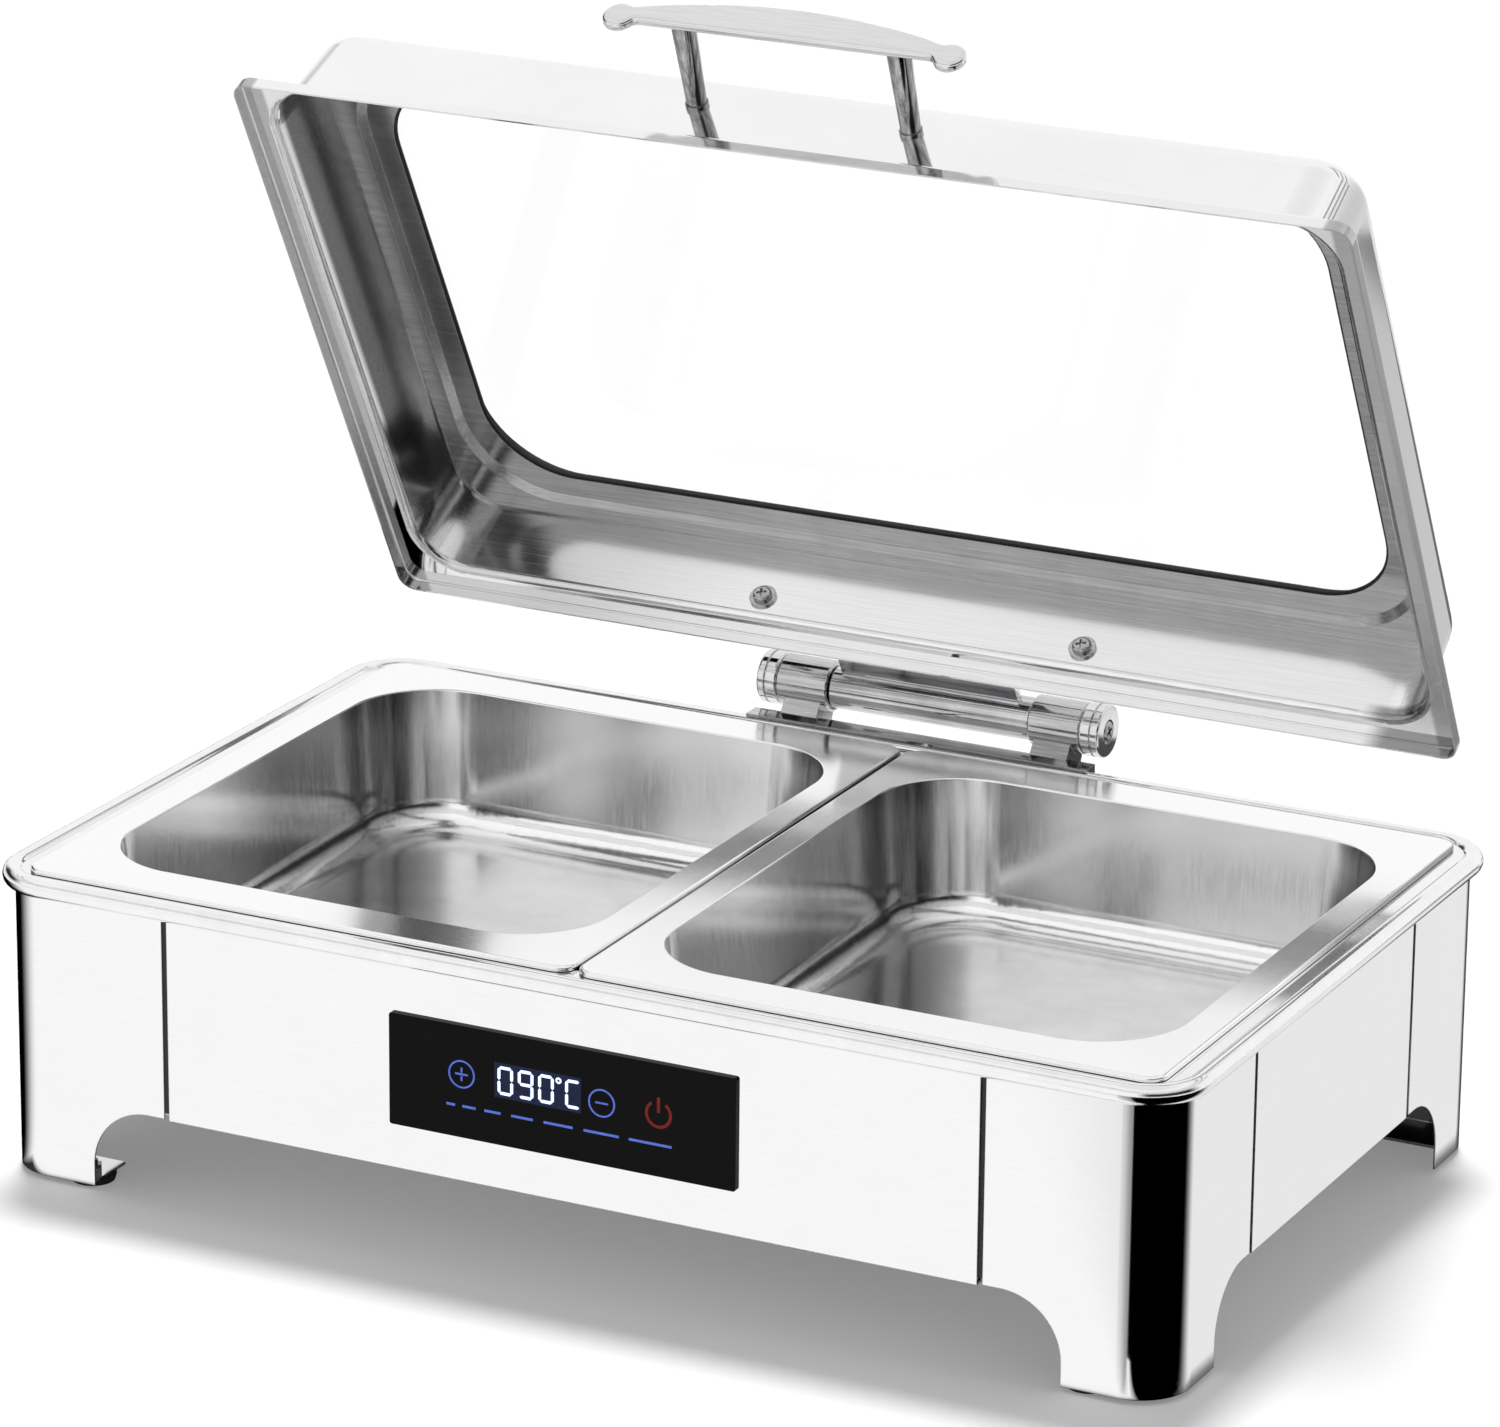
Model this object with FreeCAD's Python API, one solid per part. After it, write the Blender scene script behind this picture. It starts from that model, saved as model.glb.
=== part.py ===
import FreeCAD, Part
import math
import os

os.makedirs("parts", exist_ok=True)

V = FreeCAD.Vector
X = V(1, 0, 0)
Y = V(0, 1, 0)
Z = V(0, 0, 1)

# Millimetres. X is the width, the front faces -Y, +Z is up, the feet stand on z = 0.

# Sheet-metal body
BODY_X = 276.0             # half width
BODY_Y = 168.5             # half depth
BODY_R = 23.0              # plan radius of the corners
SHEET = 0.8
LEG_BOTTOM = 2.0
PANEL_BOTTOM = 39.0
SHEET_TOP = 130.0
SEAM_X = 191.9             # seam between leg and front or rear panel
SEAM_Y = 85.9              # seam between leg and side panel
SEAM_GAP = 2.5
ARCH_X = 228.7             # inner edge of a foot, front and rear
ARCH_Y = 121.4             # inner edge of a foot, sides
ARCH_TOP = 39.6
ARCH_R = 27.6
HEM = 13.0
FOOT_X = 236.5
FOOT_Y = 157.0

# Inner frame behind the panels
BAND_Z = 100.0
FRAME_T = 1.2
FRAME_TOP = 136.4
STRIP_HALF = 8.5

# Rim with its rolled bead
BEAD_R = 4.6
BEAD_WALL = 1.0
BEAD_OUT = 0.9             # bead centre line outside the body face
BEAD_Z = 134.8
RIM_TOP = 137.2
RIM_OPEN_X = 259.5
RIM_OPEN_Y = 155.5
RIM_OPEN_R = 20.0

# Water pan under the rim
WATER_X = 260.8
WATER_Y = 156.8
WATER_R = 21.0
WATER_FLOOR = 64.2

# Food pans, two of half size side by side
PAN_EDGE = 266.0           # outer flange edge from the middle
PAN_GAP = 0.7              # half gap between the two flanges
PAN_Y = 162.0
PAN_IN = 15.9              # opening, inner edge from the middle
PAN_OUT = 249.5            # opening, outer edge from the middle
PAN_OPEN_Y = 137.9
PAN_TOP = 139.8
PAN_DEPTH = 65.0
PAN_R = 41.0
PAN_FLANGE_R = 9.0
PAN_DRAFT = 4.0            # degrees
PAN_FLOOR_R = 14.0
PAN_LIP = 2.3

# Control panel in the front
GLASS_X = 81.5
GLASS_Z0 = 59.2
GLASS_Z1 = 109.2
GLASS_T = 1.6
WINDOW_X = 75.0
WINDOW_Z0 = 63.5
WINDOW_Z1 = 105.0

# Hinge at the rear
HINGE_Y = 190.3
HINGE_Z = 152.5
LID_ANGLE = 61.2           # degrees from closed, as built
TUBE_HALF = 50.0
TUBE_R = 9.75
TUBE_BORE = 7.5
KNUCKLE_X0 = 50.3
KNUCKLE_X1 = 75.8
KNUCKLE_R = 11.75
SHAFT_R = 5.0
SHAFT_HALF = 64.0
RUNNING = 0.05
CAP_X1 = 85.5
CAP_R = 12.25
POCKET_R = 8.4
ADJUSTER_R = 3.0
LEAF_HALF = 85.0
LEAF_Y = 174.6
LEAF_T = 2.8
HINGE_BOLTS = [(sx * 40.0, z) for sx in (-1, 1) for z in (96.0, 120.0)]

# Lid, given in its closed position
LID_Z = 146.4              # underside of the flange
LID_REAR = 158.0
LID_FRONT = -152.0
LID_X = 262.9
LID_R = 8.0
LID_LIP = 6.0
DOME_X = 251.4
DOME_Y = 145.8
DOME_H = 51.2
DOME_R = 24.0
DOME_DRAFT = 4.0           # degrees
DOME_SHOULDER = 14.0
DOME_FOOT = 2.8            # outside radius between flange and dome
WINDOW_MID = 0.5           # y of the window's middle
PANE_X = 222.6             # visible half width of the window
PANE_Y = 117.8
PANE_R = 38.0
LEDGE_H = 40.2             # heights above the flange underside
RING_H = 43.2
STEP_D = 13.4              # step between ledge and ring, outside the visible window
STEP_SLANT = 3.2
PANE_H = 44.7
PANE_T = 4.0
LID_SCREW_X = 79.5
LID_SCREW_H = 11.7

# Handle on the front of the dome
POST_X = 50.6
POST_H = 26.6
POST_TILT = 9.0            # degrees above level
POST_LONG = 42.5
GRIP_Y = -191.0
GRIP_T = 5.0
GRIP_END_X = 77.5
GRIP_END_H = 27.5
GRIP_END_R = 7.2
GRIP_UNDER = 25.8
GRIP_SIDE = 32.6
GRIP_MIDDLE = 43.6

# Mains inlet in the rear panel
INLET_X = -140.0
INLET_Z = 54.0
INLET_NOTCH = 22.0
INLET_PINS = ((-7, -1.5), (7, -1.5), (0, 3.0))

# Middle of the depth, from the rim's front edge to the back of the hinge caps
MIDDLE_Y = (HINGE_Y + CAP_R - BODY_Y - BEAD_OUT - BEAD_R) / 2


def save(name, shape):
    """Write one piece with the row's origin under the middle of the whole depth."""
    shape.translate(V(0, -MIDDLE_Y, 0))
    shape.exportStep("parts/" + name + ".step")


def box(x0, x1, y0, y1, z0, z1):
    return Part.makeBox(x1 - x0, y1 - y0, z1 - z0, V(x0, y0, z0))


def cyl(radius, start, end):
    way = end - start
    return Part.makeCylinder(radius, way.Length, start, way)


def cone(r0, r1, start, end):
    way = end - start
    return Part.makeCone(r0, r1, way.Length, start, way)


def outline(hx, hy, r, z, cx=0.0, cy=0.0):
    """Closed wire of a rounded rectangle lying flat at height z."""
    k = r * math.sqrt(0.5)
    edges = []
    corners = [(1, -1), (1, 1), (-1, 1), (-1, -1)]
    arcs = []
    for sx, sy in corners:
        mx = cx + sx * (hx - r)
        my = cy + sy * (hy - r)
        along_x = V(mx, cy + sy * hy, z)
        along_y = V(cx + sx * hx, my, z)
        middle = V(mx + sx * k, my + sy * k, z)
        ends = (along_x, along_y) if sx * sy < 0 else (along_y, along_x)
        arcs.append((ends[0], middle, ends[1]))
    for i, (start, middle, end) in enumerate(arcs):
        edges.append(Part.Arc(start, middle, end).toShape())
        edges.append(Part.makeLine(end, arcs[(i + 1) % 4][0]))
    return Part.Wire(edges)


def slab(hx, hy, r, z0, z1, cx=0.0, cy=0.0):
    return Part.Face(outline(hx, hy, r, z0, cx, cy)).extrude(V(0, 0, z1 - z0))


def ring(outer, inner, z0, z1, cx=0.0, cy=0.0):
    """Flat ring between two rounded rectangles given as (half x, half y, radius)."""
    return slab(*outer, z0, z1, cx, cy).cut(slab(*inner, z0, z1, cx, cy))


def taper(low, high, z0, z1, cx=0.0, cy=0.0):
    """Block between two rounded rectangles at two heights."""
    wires = [outline(*low, z0, cx, cy), outline(*high, z1, cx, cy)]
    return Part.makeLoft(wires, True, True)


def flat_edges(shape, z, tolerance=0.01):
    """Edges that lie wholly at height z."""
    found = []
    for edge in shape.Edges:
        b = edge.BoundBox
        if abs(b.ZMin - z) < tolerance and abs(b.ZMax - z) < tolerance:
            found.append(edge)
    return found


def upright(points, axis, depth, start):
    """Prism from (u, z) points, pushed along X or Y from start by depth."""
    if axis == "x":
        ring_points = [V(start, u, z) for u, z in points]
        way = V(depth, 0, 0)
    else:
        ring_points = [V(u, start, z) for u, z in points]
        way = V(0, depth, 0)
    return Part.Face(Part.makePolygon(ring_points + ring_points[:1])).extrude(way)


def hex_nut(across, start, way, thick, hole):
    """Hexagon nut standing on start, pointing along way."""
    r = across / math.sqrt(3)
    points = [V(r * math.cos(math.radians(60 * i)), r * math.sin(math.radians(60 * i)), 0)
              for i in range(7)]
    nut = Part.Face(Part.makePolygon(points)).extrude(V(0, 0, thick))
    nut = nut.cut(Part.makeCylinder(hole, thick))
    nut.Placement = FreeCAD.Placement(start, FreeCAD.Rotation(Z, way))
    return nut


def pan_head(radius, height, start, way):
    """Domed screw head with a cross recess; way points out of the head."""
    head = Part.makeCylinder(radius, height)
    head = head.makeFillet(height * 0.6, flat_edges(head, height))
    for turn in (0, 90):
        slot = box(-radius * 0.55, radius * 0.55, -radius * 0.13, radius * 0.13,
                   height * 0.45, height * 1.2)
        slot.rotate(V(0, 0, 0), Z, turn + 20)
        head = head.cut(slot)
    head.Placement = FreeCAD.Placement(start, FreeCAD.Rotation(Z, way))
    return head


def opened(shape):
    """The closed lid's piece, swung to the angle the lid is built at."""
    shape.rotate(V(0, HINGE_Y, HINGE_Z), X, -LID_ANGLE)
    return shape


# ---------------------------------------------------------------- body

def arch_cutter(foot, along):
    """Space under the arch between a foot and its panel, on one face of the +X +Y corner."""
    centre_u = foot - ARCH_R
    centre_z = ARCH_TOP - ARCH_R
    k = ARCH_R * math.sqrt(0.5)

    def at(u, z):
        return V(u, 0, z) if along == "x" else V(0, u, z)

    edges = [
        Part.makeLine(at(0, -1), at(foot, -1)),
        Part.makeLine(at(foot, -1), at(foot, centre_z)),
        Part.Arc(at(foot, centre_z), at(centre_u + k, centre_z + k), at(centre_u, ARCH_TOP)).toShape(),
        Part.makeLine(at(centre_u, ARCH_TOP), at(0, ARCH_TOP)),
        Part.makeLine(at(0, ARCH_TOP), at(0, -1)),
    ]
    way = Y if along == "x" else X
    return Part.Face(Part.Wire(edges)).extrude(way * 400)


def leg_corner():
    """Corner skin at +X +Y with its two feet edges and the plate the rubber foot hangs on."""
    outer = (BODY_X, BODY_Y, BODY_R)
    inner = (BODY_X - SHEET, BODY_Y - SHEET, BODY_R - SHEET)
    skin = ring(outer, inner, LEG_BOTTOM, SHEET_TOP)
    keep = box(SEAM_X + SEAM_GAP / 2, 300, SEAM_Y + SEAM_GAP / 2, 200, 0, 200)
    skin = skin.common(keep)
    front_arch = arch_cutter(ARCH_X, "x").common(box(0, 300, BODY_Y - 5, 200, -2, 60))
    side_arch = arch_cutter(ARCH_Y, "y").common(box(BODY_X - 5, 300, 0, 200, -2, 60))
    skin = skin.cut(front_arch).cut(side_arch)
    sole = slab(*inner, LEG_BOTTOM + 0.6, LEG_BOTTOM + 1.8)
    sole = sole.common(box(ARCH_X + 0.5, 300, BODY_Y - 26, 200, 0, 10))
    sole = sole.cut(cyl(2.0, V(FOOT_X, FOOT_Y, 0), V(FOOT_X, FOOT_Y, 10)))
    return skin.fuse(sole).removeSplitter()


def mirrored(shape, sx, sy):
    copy = shape.copy()
    if sx < 0:
        copy = copy.mirror(V(0, 0, 0), X)
    if sy < 0:
        copy = copy.mirror(V(0, 0, 0), Y)
    return copy


def long_panel():
    """Front or rear panel, made at the rear, with its hem under the cover."""
    half = SEAM_X - SEAM_GAP / 2
    face = box(-half, half, BODY_Y - SHEET, BODY_Y, PANEL_BOTTOM, SHEET_TOP)
    hem = box(-half, half, BODY_Y - HEM, BODY_Y - SHEET, PANEL_BOTTOM, PANEL_BOTTOM + SHEET)
    return face.fuse(hem).removeSplitter()


def front_panel():
    panel = long_panel().mirror(V(0, 0, 0), Y)
    window = box(-WINDOW_X, WINDOW_X, -BODY_Y - 1, -BODY_Y + 2, WINDOW_Z0, WINDOW_Z1)
    return panel.cut(window)


def rear_panel():
    panel = long_panel()
    for x, z in HINGE_BOLTS:
        panel = panel.cut(cyl(2.6, V(x, BODY_Y - 2, z), V(x, BODY_Y + 1, z)))
    socket = box(INLET_X - 13.8, INLET_X + 13.8, BODY_Y - 2, BODY_Y + 1, INLET_Z - 9.9, INLET_Z + 9.9)
    panel = panel.cut(socket)
    # the hem is notched below the inlet body
    notch = box(INLET_X - INLET_NOTCH, INLET_X + INLET_NOTCH, BODY_Y - HEM - 1, BODY_Y - SHEET,
                PANEL_BOTTOM - 1, PANEL_BOTTOM + SHEET + 1)
    panel = panel.cut(notch)
    for sx in (-1, 1):
        x = INLET_X + sx * 20.0
        panel = panel.cut(cyl(1.7, V(x, BODY_Y - 2, INLET_Z), V(x, BODY_Y + 1, INLET_Z)))
    return panel


def side_panel(sx):
    half = SEAM_Y - SEAM_GAP / 2
    face = box(BODY_X - SHEET, BODY_X, -half, half, PANEL_BOTTOM, SHEET_TOP)
    hem = box(BODY_X - HEM, BODY_X - SHEET, -half, half, PANEL_BOTTOM, PANEL_BOTTOM + SHEET)
    return mirrored(face.fuse(hem).removeSplitter(), sx, 1)


def inset(d):
    return (BODY_X - d, BODY_Y - d, BODY_R - d)


def chassis_frame():
    """Black frame behind the skins: band, ledge, riser under the rim and a strip at each seam."""
    band = ring(inset(SHEET), inset(SHEET + FRAME_T), BAND_Z, SHEET_TOP - 0.2)
    ledge = ring(inset(SHEET), inset(8.5), SHEET_TOP - 0.2 - FRAME_T, SHEET_TOP - 0.2)
    riser = ring(inset(8.5 - FRAME_T), inset(8.5), SHEET_TOP - 0.2, FRAME_TOP)
    frame = band.fuse([ledge, riser])
    y0 = BODY_Y - SHEET - FRAME_T
    x0 = BODY_X - SHEET - FRAME_T
    for sx in (-1, 1):
        for sy in (-1, 1):
            rear = box(SEAM_X - STRIP_HALF, SEAM_X + STRIP_HALF, y0, y0 + FRAME_T, 42.0, BAND_Z)
            side = box(x0, x0 + FRAME_T, SEAM_Y - STRIP_HALF, SEAM_Y + STRIP_HALF, 42.0, BAND_Z)
            frame = frame.fuse([mirrored(rear, sx, sy), mirrored(side, sx, sy)])
    for x, z in HINGE_BOLTS:
        frame = frame.cut(cyl(2.6, V(x, BODY_Y - 4, z), V(x, BODY_Y, z)))
    frame = frame.cut(box(-79.5, 79.5, -BODY_Y, -BODY_Y + 5, BAND_Z - 1, 108.0))
    return frame.removeSplitter()


def rim():
    """Top rim: flat plate whose outer edge rolls into a hollow bead."""
    path = outline(BODY_X + BEAD_OUT, BODY_Y + BEAD_OUT, BODY_R + BEAD_OUT, BEAD_Z)
    centre = V(0, -BODY_Y - BEAD_OUT, BEAD_Z)
    start = V(BODY_X + BEAD_OUT - BODY_R - BEAD_OUT, centre.y, BEAD_Z)
    solids = []
    for r in (BEAD_R, BEAD_R - BEAD_WALL):
        circle = Part.Wire([Part.makeCircle(r, start, X)])
        solids.append(path.makePipeShell([circle], True, True))
    bead = solids[0].cut(solids[1])
    reach = (BODY_X + BEAD_OUT - 3.6, BODY_Y + BEAD_OUT - 3.6, BODY_R - 2.7)
    opening = (RIM_OPEN_X, RIM_OPEN_Y, RIM_OPEN_R)
    plate = ring(reach, opening, FRAME_TOP, RIM_TOP)
    return bead.fuse(plate)


def water_pan():
    floor = WATER_FLOOR
    outer = slab(WATER_X, WATER_Y, WATER_R, floor, FRAME_TOP)
    outer = outer.makeFillet(8.8, flat_edges(outer, floor))
    cavity = slab(WATER_X - SHEET, WATER_Y - SHEET, WATER_R - SHEET, floor + SHEET, FRAME_TOP + 1)
    cavity = cavity.makeFillet(8.0, flat_edges(cavity, floor + SHEET))
    flange = slab(WATER_X + 5.5, WATER_Y + 2.8, WATER_R + 3, FRAME_TOP - SHEET, FRAME_TOP)
    return outer.fuse(flange).cut(cavity).removeSplitter()


def food_pan(sx):
    """Half-size food pan with a turned-down flange edge and rounded floor."""
    cx = (PAN_EDGE + PAN_GAP) / 2
    flange_x = (PAN_EDGE - PAN_GAP) / 2
    open_cx = (PAN_OUT + PAN_IN) / 2
    open_x = (PAN_OUT - PAN_IN) / 2
    under = PAN_TOP - SHEET
    floor = PAN_TOP - PAN_DEPTH
    slope = math.tan(math.radians(PAN_DRAFT))

    def shrunk(extra, z):
        d = slope * (PAN_TOP - z) - extra
        return (open_x - d, PAN_OPEN_Y - d, PAN_R - d * 0.5)

    shell = taper(shrunk(SHEET, floor), shrunk(SHEET, under), floor, under, open_cx)
    shell = shell.makeFillet(PAN_FLOOR_R + SHEET, flat_edges(shell, floor))
    plate = slab(flange_x, PAN_Y, PAN_FLANGE_R, PAN_TOP - PAN_LIP, PAN_TOP, cx)
    plate = plate.makeFillet(1.6, flat_edges(plate, PAN_TOP))
    hollow = slab(flange_x - SHEET, PAN_Y - SHEET, PAN_FLANGE_R - SHEET, PAN_TOP - PAN_LIP, under, cx)
    hollow = hollow.makeFillet(0.9, flat_edges(hollow, under))
    pan = plate.cut(hollow).fuse(shell)
    cavity = taper(shrunk(0, floor + SHEET), shrunk(0, PAN_TOP), floor + SHEET, PAN_TOP, open_cx)
    cavity = cavity.makeFillet(PAN_FLOOR_R, flat_edges(cavity, floor + SHEET))
    pan = pan.cut(cavity)
    mouth = [e for e in flat_edges(pan, PAN_TOP)
             if abs(e.CenterOfMass.y) < PAN_OPEN_Y + 1
             and abs(e.CenterOfMass.x - open_cx) < open_x + 1]
    pan = pan.makeFillet(0.75, mouth)
    return mirrored(pan, sx, 1)


def bottom_cover():
    """Steel cover on the panels' hems, with two fields of vent slots."""
    z0 = PANEL_BOTTOM + SHEET
    cover = slab(BODY_X - 4, BODY_Y - 4, BODY_R - 4, z0, z0 + 1.0)
    for sx in (-1, 1):
        for sy in (-1, 1):
            gone = box(ARCH_X - 34, 300, ARCH_Y - 34, 200, z0 - 1, z0 + 2)
            cover = cover.cut(mirrored(gone, sx, sy))
        for i in range(9):
            y = (i - 4) * 12.0
            slot = box(sx * 110 - 30, sx * 110 + 30, y - 2, y + 2, z0 - 1, z0 + 2)
            cover = cover.cut(slot)
    for x, y in cover_screw_places():
        cover = cover.cut(cyl(1.6, V(x, y, z0 - 1), V(x, y, z0 + 2)))
    return cover


def cover_screw_places():
    edge_y = BODY_Y - 7.5
    edge_x = BODY_X - 7.5
    places = [(x, sy * edge_y) for x in (-168.0, 0.0, 168.0) for sy in (-1, 1)]
    return places + [(sx * edge_x, y) for sx in (-1, 1) for y in (-50.0, 50.0)]


def cover_screws():
    """Ten self-tapping screws that hold the cover to the hems from above the hem."""
    z = PANEL_BOTTOM + SHEET + 1.0
    screws = []
    for x, y in cover_screw_places():
        head = pan_head(3.0, 1.8, V(x, y, z), Z)
        screws.append(head.fuse(cyl(1.5, V(x, y, z - 1.0), V(x, y, z + 0.5))))
    return Part.makeCompound(screws)


def foot_places():
    return [(sx * FOOT_X, sy * FOOT_Y) for sx in (-1, 1) for sy in (-1, 1)]


def rubber_feet():
    feet = []
    for x, y in foot_places():
        foot = cone(9.4, 10.2, V(x, y, 0), V(x, y, LEG_BOTTOM + 0.6))
        foot = foot.cut(cyl(2.0, V(x, y, 1.2), V(x, y, 5)))
        feet.append(foot)
    return Part.makeCompound(feet)


def foot_screws():
    """One screw per foot, up through the rubber into a nut on the leg's sole."""
    screws = []
    for x, y in foot_places():
        shank = cyl(2.0, V(x, y, 1.2), V(x, y, LEG_BOTTOM + 7))
        nut = hex_nut(7.0, V(x, y, LEG_BOTTOM + 1.8), Z, 3.2, 2.0)
        screws.append(shank.fuse(nut))
    return Part.makeCompound(screws)


# ---------------------------------------------------------------- heating

HEATER_X = 125.0
HEATER_T = 4.0


def heater_plate(sx):
    """Flat heating plate pressed against the water pan's floor, with two tabs."""
    z1 = WATER_FLOOR
    plate = slab(95, 95, 12, z1 - HEATER_T, z1, sx * HEATER_X)
    for y in (-12, 12):
        x = sx * (HEATER_X - 95)
        tab = box(min(x, x - sx * 9), max(x, x - sx * 9), y - 3, y + 3, z1 - 3.0, z1 - 2.2)
        plate = plate.fuse(tab)
    return plate


def heater_clamps():
    """Spring bars under the heating plates, each with a crank at both ends."""
    bars = []
    for sx in (-1, 1):
        x0 = sx * HEATER_X - 10
        z1 = WATER_FLOOR - HEATER_T
        bar = box(x0, x0 + 20, -95, 95, z1 - 1.5, z1)
        for sy in (-1, 1):
            y0 = 95 if sy > 0 else -97
            riser = box(x0, x0 + 20, y0, y0 + 2, z1 - 1.5, WATER_FLOOR)
            y1 = 97 if sy > 0 else -112
            foot = box(x0, x0 + 20, y1, y1 + 15, WATER_FLOOR - 1.5, WATER_FLOOR)
            bar = bar.fuse([riser, foot])
        bars.append(bar.removeSplitter())
    return Part.makeCompound(bars)


def temperature_sensor():
    """Probe lying in a saddle on the underside of the water pan."""
    z = WATER_FLOOR - 3.5
    probe = cyl(2.5, V(0, -14, z), V(0, 16, z))
    probe = probe.fuse(Part.makeSphere(2.5, V(0, -14, z)))
    saddle = box(-8, 8, -4, 4, WATER_FLOOR - 6.5, WATER_FLOOR)
    return saddle.fuse(probe)


def thermal_cutout():
    """Resettable disc cut-out on the left heating plate, with two blade tabs."""
    base = V(-80, 60, WATER_FLOOR - HEATER_T)
    can = cyl(8.0, base, base + V(0, 0, -4))
    neck = cyl(6.0, base + V(0, 0, -4), base + V(0, 0, -9))
    blades = [box(-80 + x - 0.4, -80 + x + 0.4, 57, 63, base.z - 14, base.z - 9) for x in (-3, 3)]
    return can.fuse([neck] + blades)


# ---------------------------------------------------------------- controls

def control_glass():
    glass = box(-GLASS_X, GLASS_X, -BODY_Y - GLASS_T, -BODY_Y, GLASS_Z0, GLASS_Z1)
    upright_edges = [e for e in glass.Edges
                     if e.BoundBox.YLength > GLASS_T - 0.1 and e.BoundBox.ZLength < 0.1]
    return glass.makeFillet(1.2, upright_edges)


def display_module():
    """Four-character display behind the glass."""
    front = -BODY_Y
    body = box(-32, 11, front, front + 5.5, 79.5, 97.5)
    for i in range(4):
        x = -29.0 + i * 9.8
        cell = box(x, x + 7.5, front - 0.1, front + 0.6, 81.5, 95.5)
        body = body.cut(cell)
    return body


def touch_board():
    front = -BODY_Y + 5.5
    board = box(-72, 72, front, front + 1.6, 65.5, 103.0)
    for x in (-60, 56):
        chip = box(x - 4, x + 4, front + 1.6, front + 3.0, 80, 88)
        board = board.fuse(chip)
    return board


def touch_springs():
    """Conductive coil posts that carry each touch key from the board to the glass."""
    posts = []
    for x, z in ((-46.8, 87.6), (19.3, 87.0), (45.8, 87.0)):
        post = cyl(4.0, V(x, -BODY_Y, z), V(x, -BODY_Y + 5.5, z))
        bore = cyl(3.2, V(x, -BODY_Y, z), V(x, -BODY_Y + 5.5, z))
        cap = cyl(4.0, V(x, -BODY_Y, z), V(x, -BODY_Y + 0.4, z))
        posts.append(post.cut(bore).fuse(cap))
    return Part.makeCompound(posts)


def control_box():
    """Plastic box behind the front panel, open to the front, with a cable notch below."""
    y0 = -BODY_Y + SHEET
    outer = box(-79, 79, y0, y0 + 9.4, 61.0, 107.5)
    inner = box(-77.5, 77.5, y0 - 1, y0 + 8.0, 62.5, 106.0)
    shell = outer.cut(inner)
    shell = shell.cut(box(-70, -58, y0 - 1, y0 + 7.4, 60, 63))
    for x in (-66, 66):
        for z in (70, 98):
            shell = shell.fuse(cyl(2.2, V(x, y0 + 6.3, z), V(x, y0 + 8.0, z)))
    return shell


BOARD_X = -60.0
BOARD_Y = 112.0


def power_board():
    """Relay board on stand-offs beside the inlet."""
    z = PANEL_BOTTOM + SHEET + 1.0 + 5.0
    board = box(BOARD_X - 40, BOARD_X + 40, BOARD_Y - 22, BOARD_Y + 22, z, z + 1.6)
    relay = box(BOARD_X - 32, BOARD_X - 12, BOARD_Y - 8, BOARD_Y + 8, z + 1.6, z + 15)
    transformer = box(BOARD_X, BOARD_X + 22, BOARD_Y - 12, BOARD_Y + 10, z + 1.6, z + 14)
    can = cyl(4, V(BOARD_X + 31, BOARD_Y, z + 1.6), V(BOARD_X + 31, BOARD_Y, z + 13))
    return board.fuse([relay, transformer, can])


def board_standoffs():
    z = PANEL_BOTTOM + SHEET + 1.0
    posts = []
    for sx in (-1, 1):
        for sy in (-1, 1):
            foot = V(BOARD_X + sx * 36, BOARD_Y + sy * 18, z)
            posts.append(cyl(2.6, foot, foot + V(0, 0, 5)))
    return Part.makeCompound(posts)


def terminal_block():
    """Four-way screw terminal on the cover."""
    z = PANEL_BOTTOM + SHEET + 1.0
    block = box(20, 60, 104, 120, z, z + 12)
    for i in range(4):
        x = 25.0 + i * 10
        block = block.cut(cyl(2.4, V(x, 112, z + 7), V(x, 112, z + 13)))
        block = block.fuse(cyl(2.2, V(x, 112, z + 7), V(x, 112, z + 9)))
        block = block.cut(box(x - 2, x + 2, 103, 106, z + 2, z + 6))
    return block


def wire(points, radius):
    """Round wire along straight runs with ball joints at the bends."""
    pieces = []
    for a, b in zip(points, points[1:]):
        pieces.append(cyl(radius, V(*a), V(*b)))
    for p in points[1:-1]:
        pieces.append(Part.makeSphere(radius, V(*p)))
    return pieces[0].fuse(pieces[1:])


def wiring_loom():
    """Mains, heater and signal leads lying on the bottom cover."""
    low = PANEL_BOTTOM + SHEET + 1.0 + 1.4
    edge = PANEL_BOTTOM + SHEET + 1.0 + 5.8
    tab = WATER_FLOOR - 2.6
    leads = []
    for x, v in ((-7, -1.5), (0, 3.0), (7, -1.5)):
        y = 124 - x
        z = INLET_Z + v
        leads.append(wire([(INLET_X + x, 141.0, z), (INLET_X + x, y, z), (INLET_X + x, y, low),
                           (BOARD_X - 46, y, low), (BOARD_X - 46, y, edge),
                           (BOARD_X - 40, y, edge)], 1.2))
    leads.append(wire([(-20.8, 12, tab), (-14, 12, tab), (-14, 12, low), (-14, 84, low),
                       (-30, 84, low), (-30, 84, edge), (-30, 90, edge)], 1.2))
    leads.append(wire([(20.8, 12, tab), (14, 12, tab), (14, 12, low), (14, 96, low),
                       (26, 96, low), (26, 102.8, low)], 1.2))
    leads.append(wire([(-64, -162.2, 65.5), (-64, -162.2, low), (-64, 84, low),
                       (-64, 84, edge), (-64, 90, edge)], 1.4))
    return Part.makeCompound(leads)


def pin_shape(u, v):
    y = BODY_Y
    return box(INLET_X + u - 1, INLET_X + u + 1, y - 27.5, y - 1, INLET_Z + v - 2, INLET_Z + v + 2)


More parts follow.
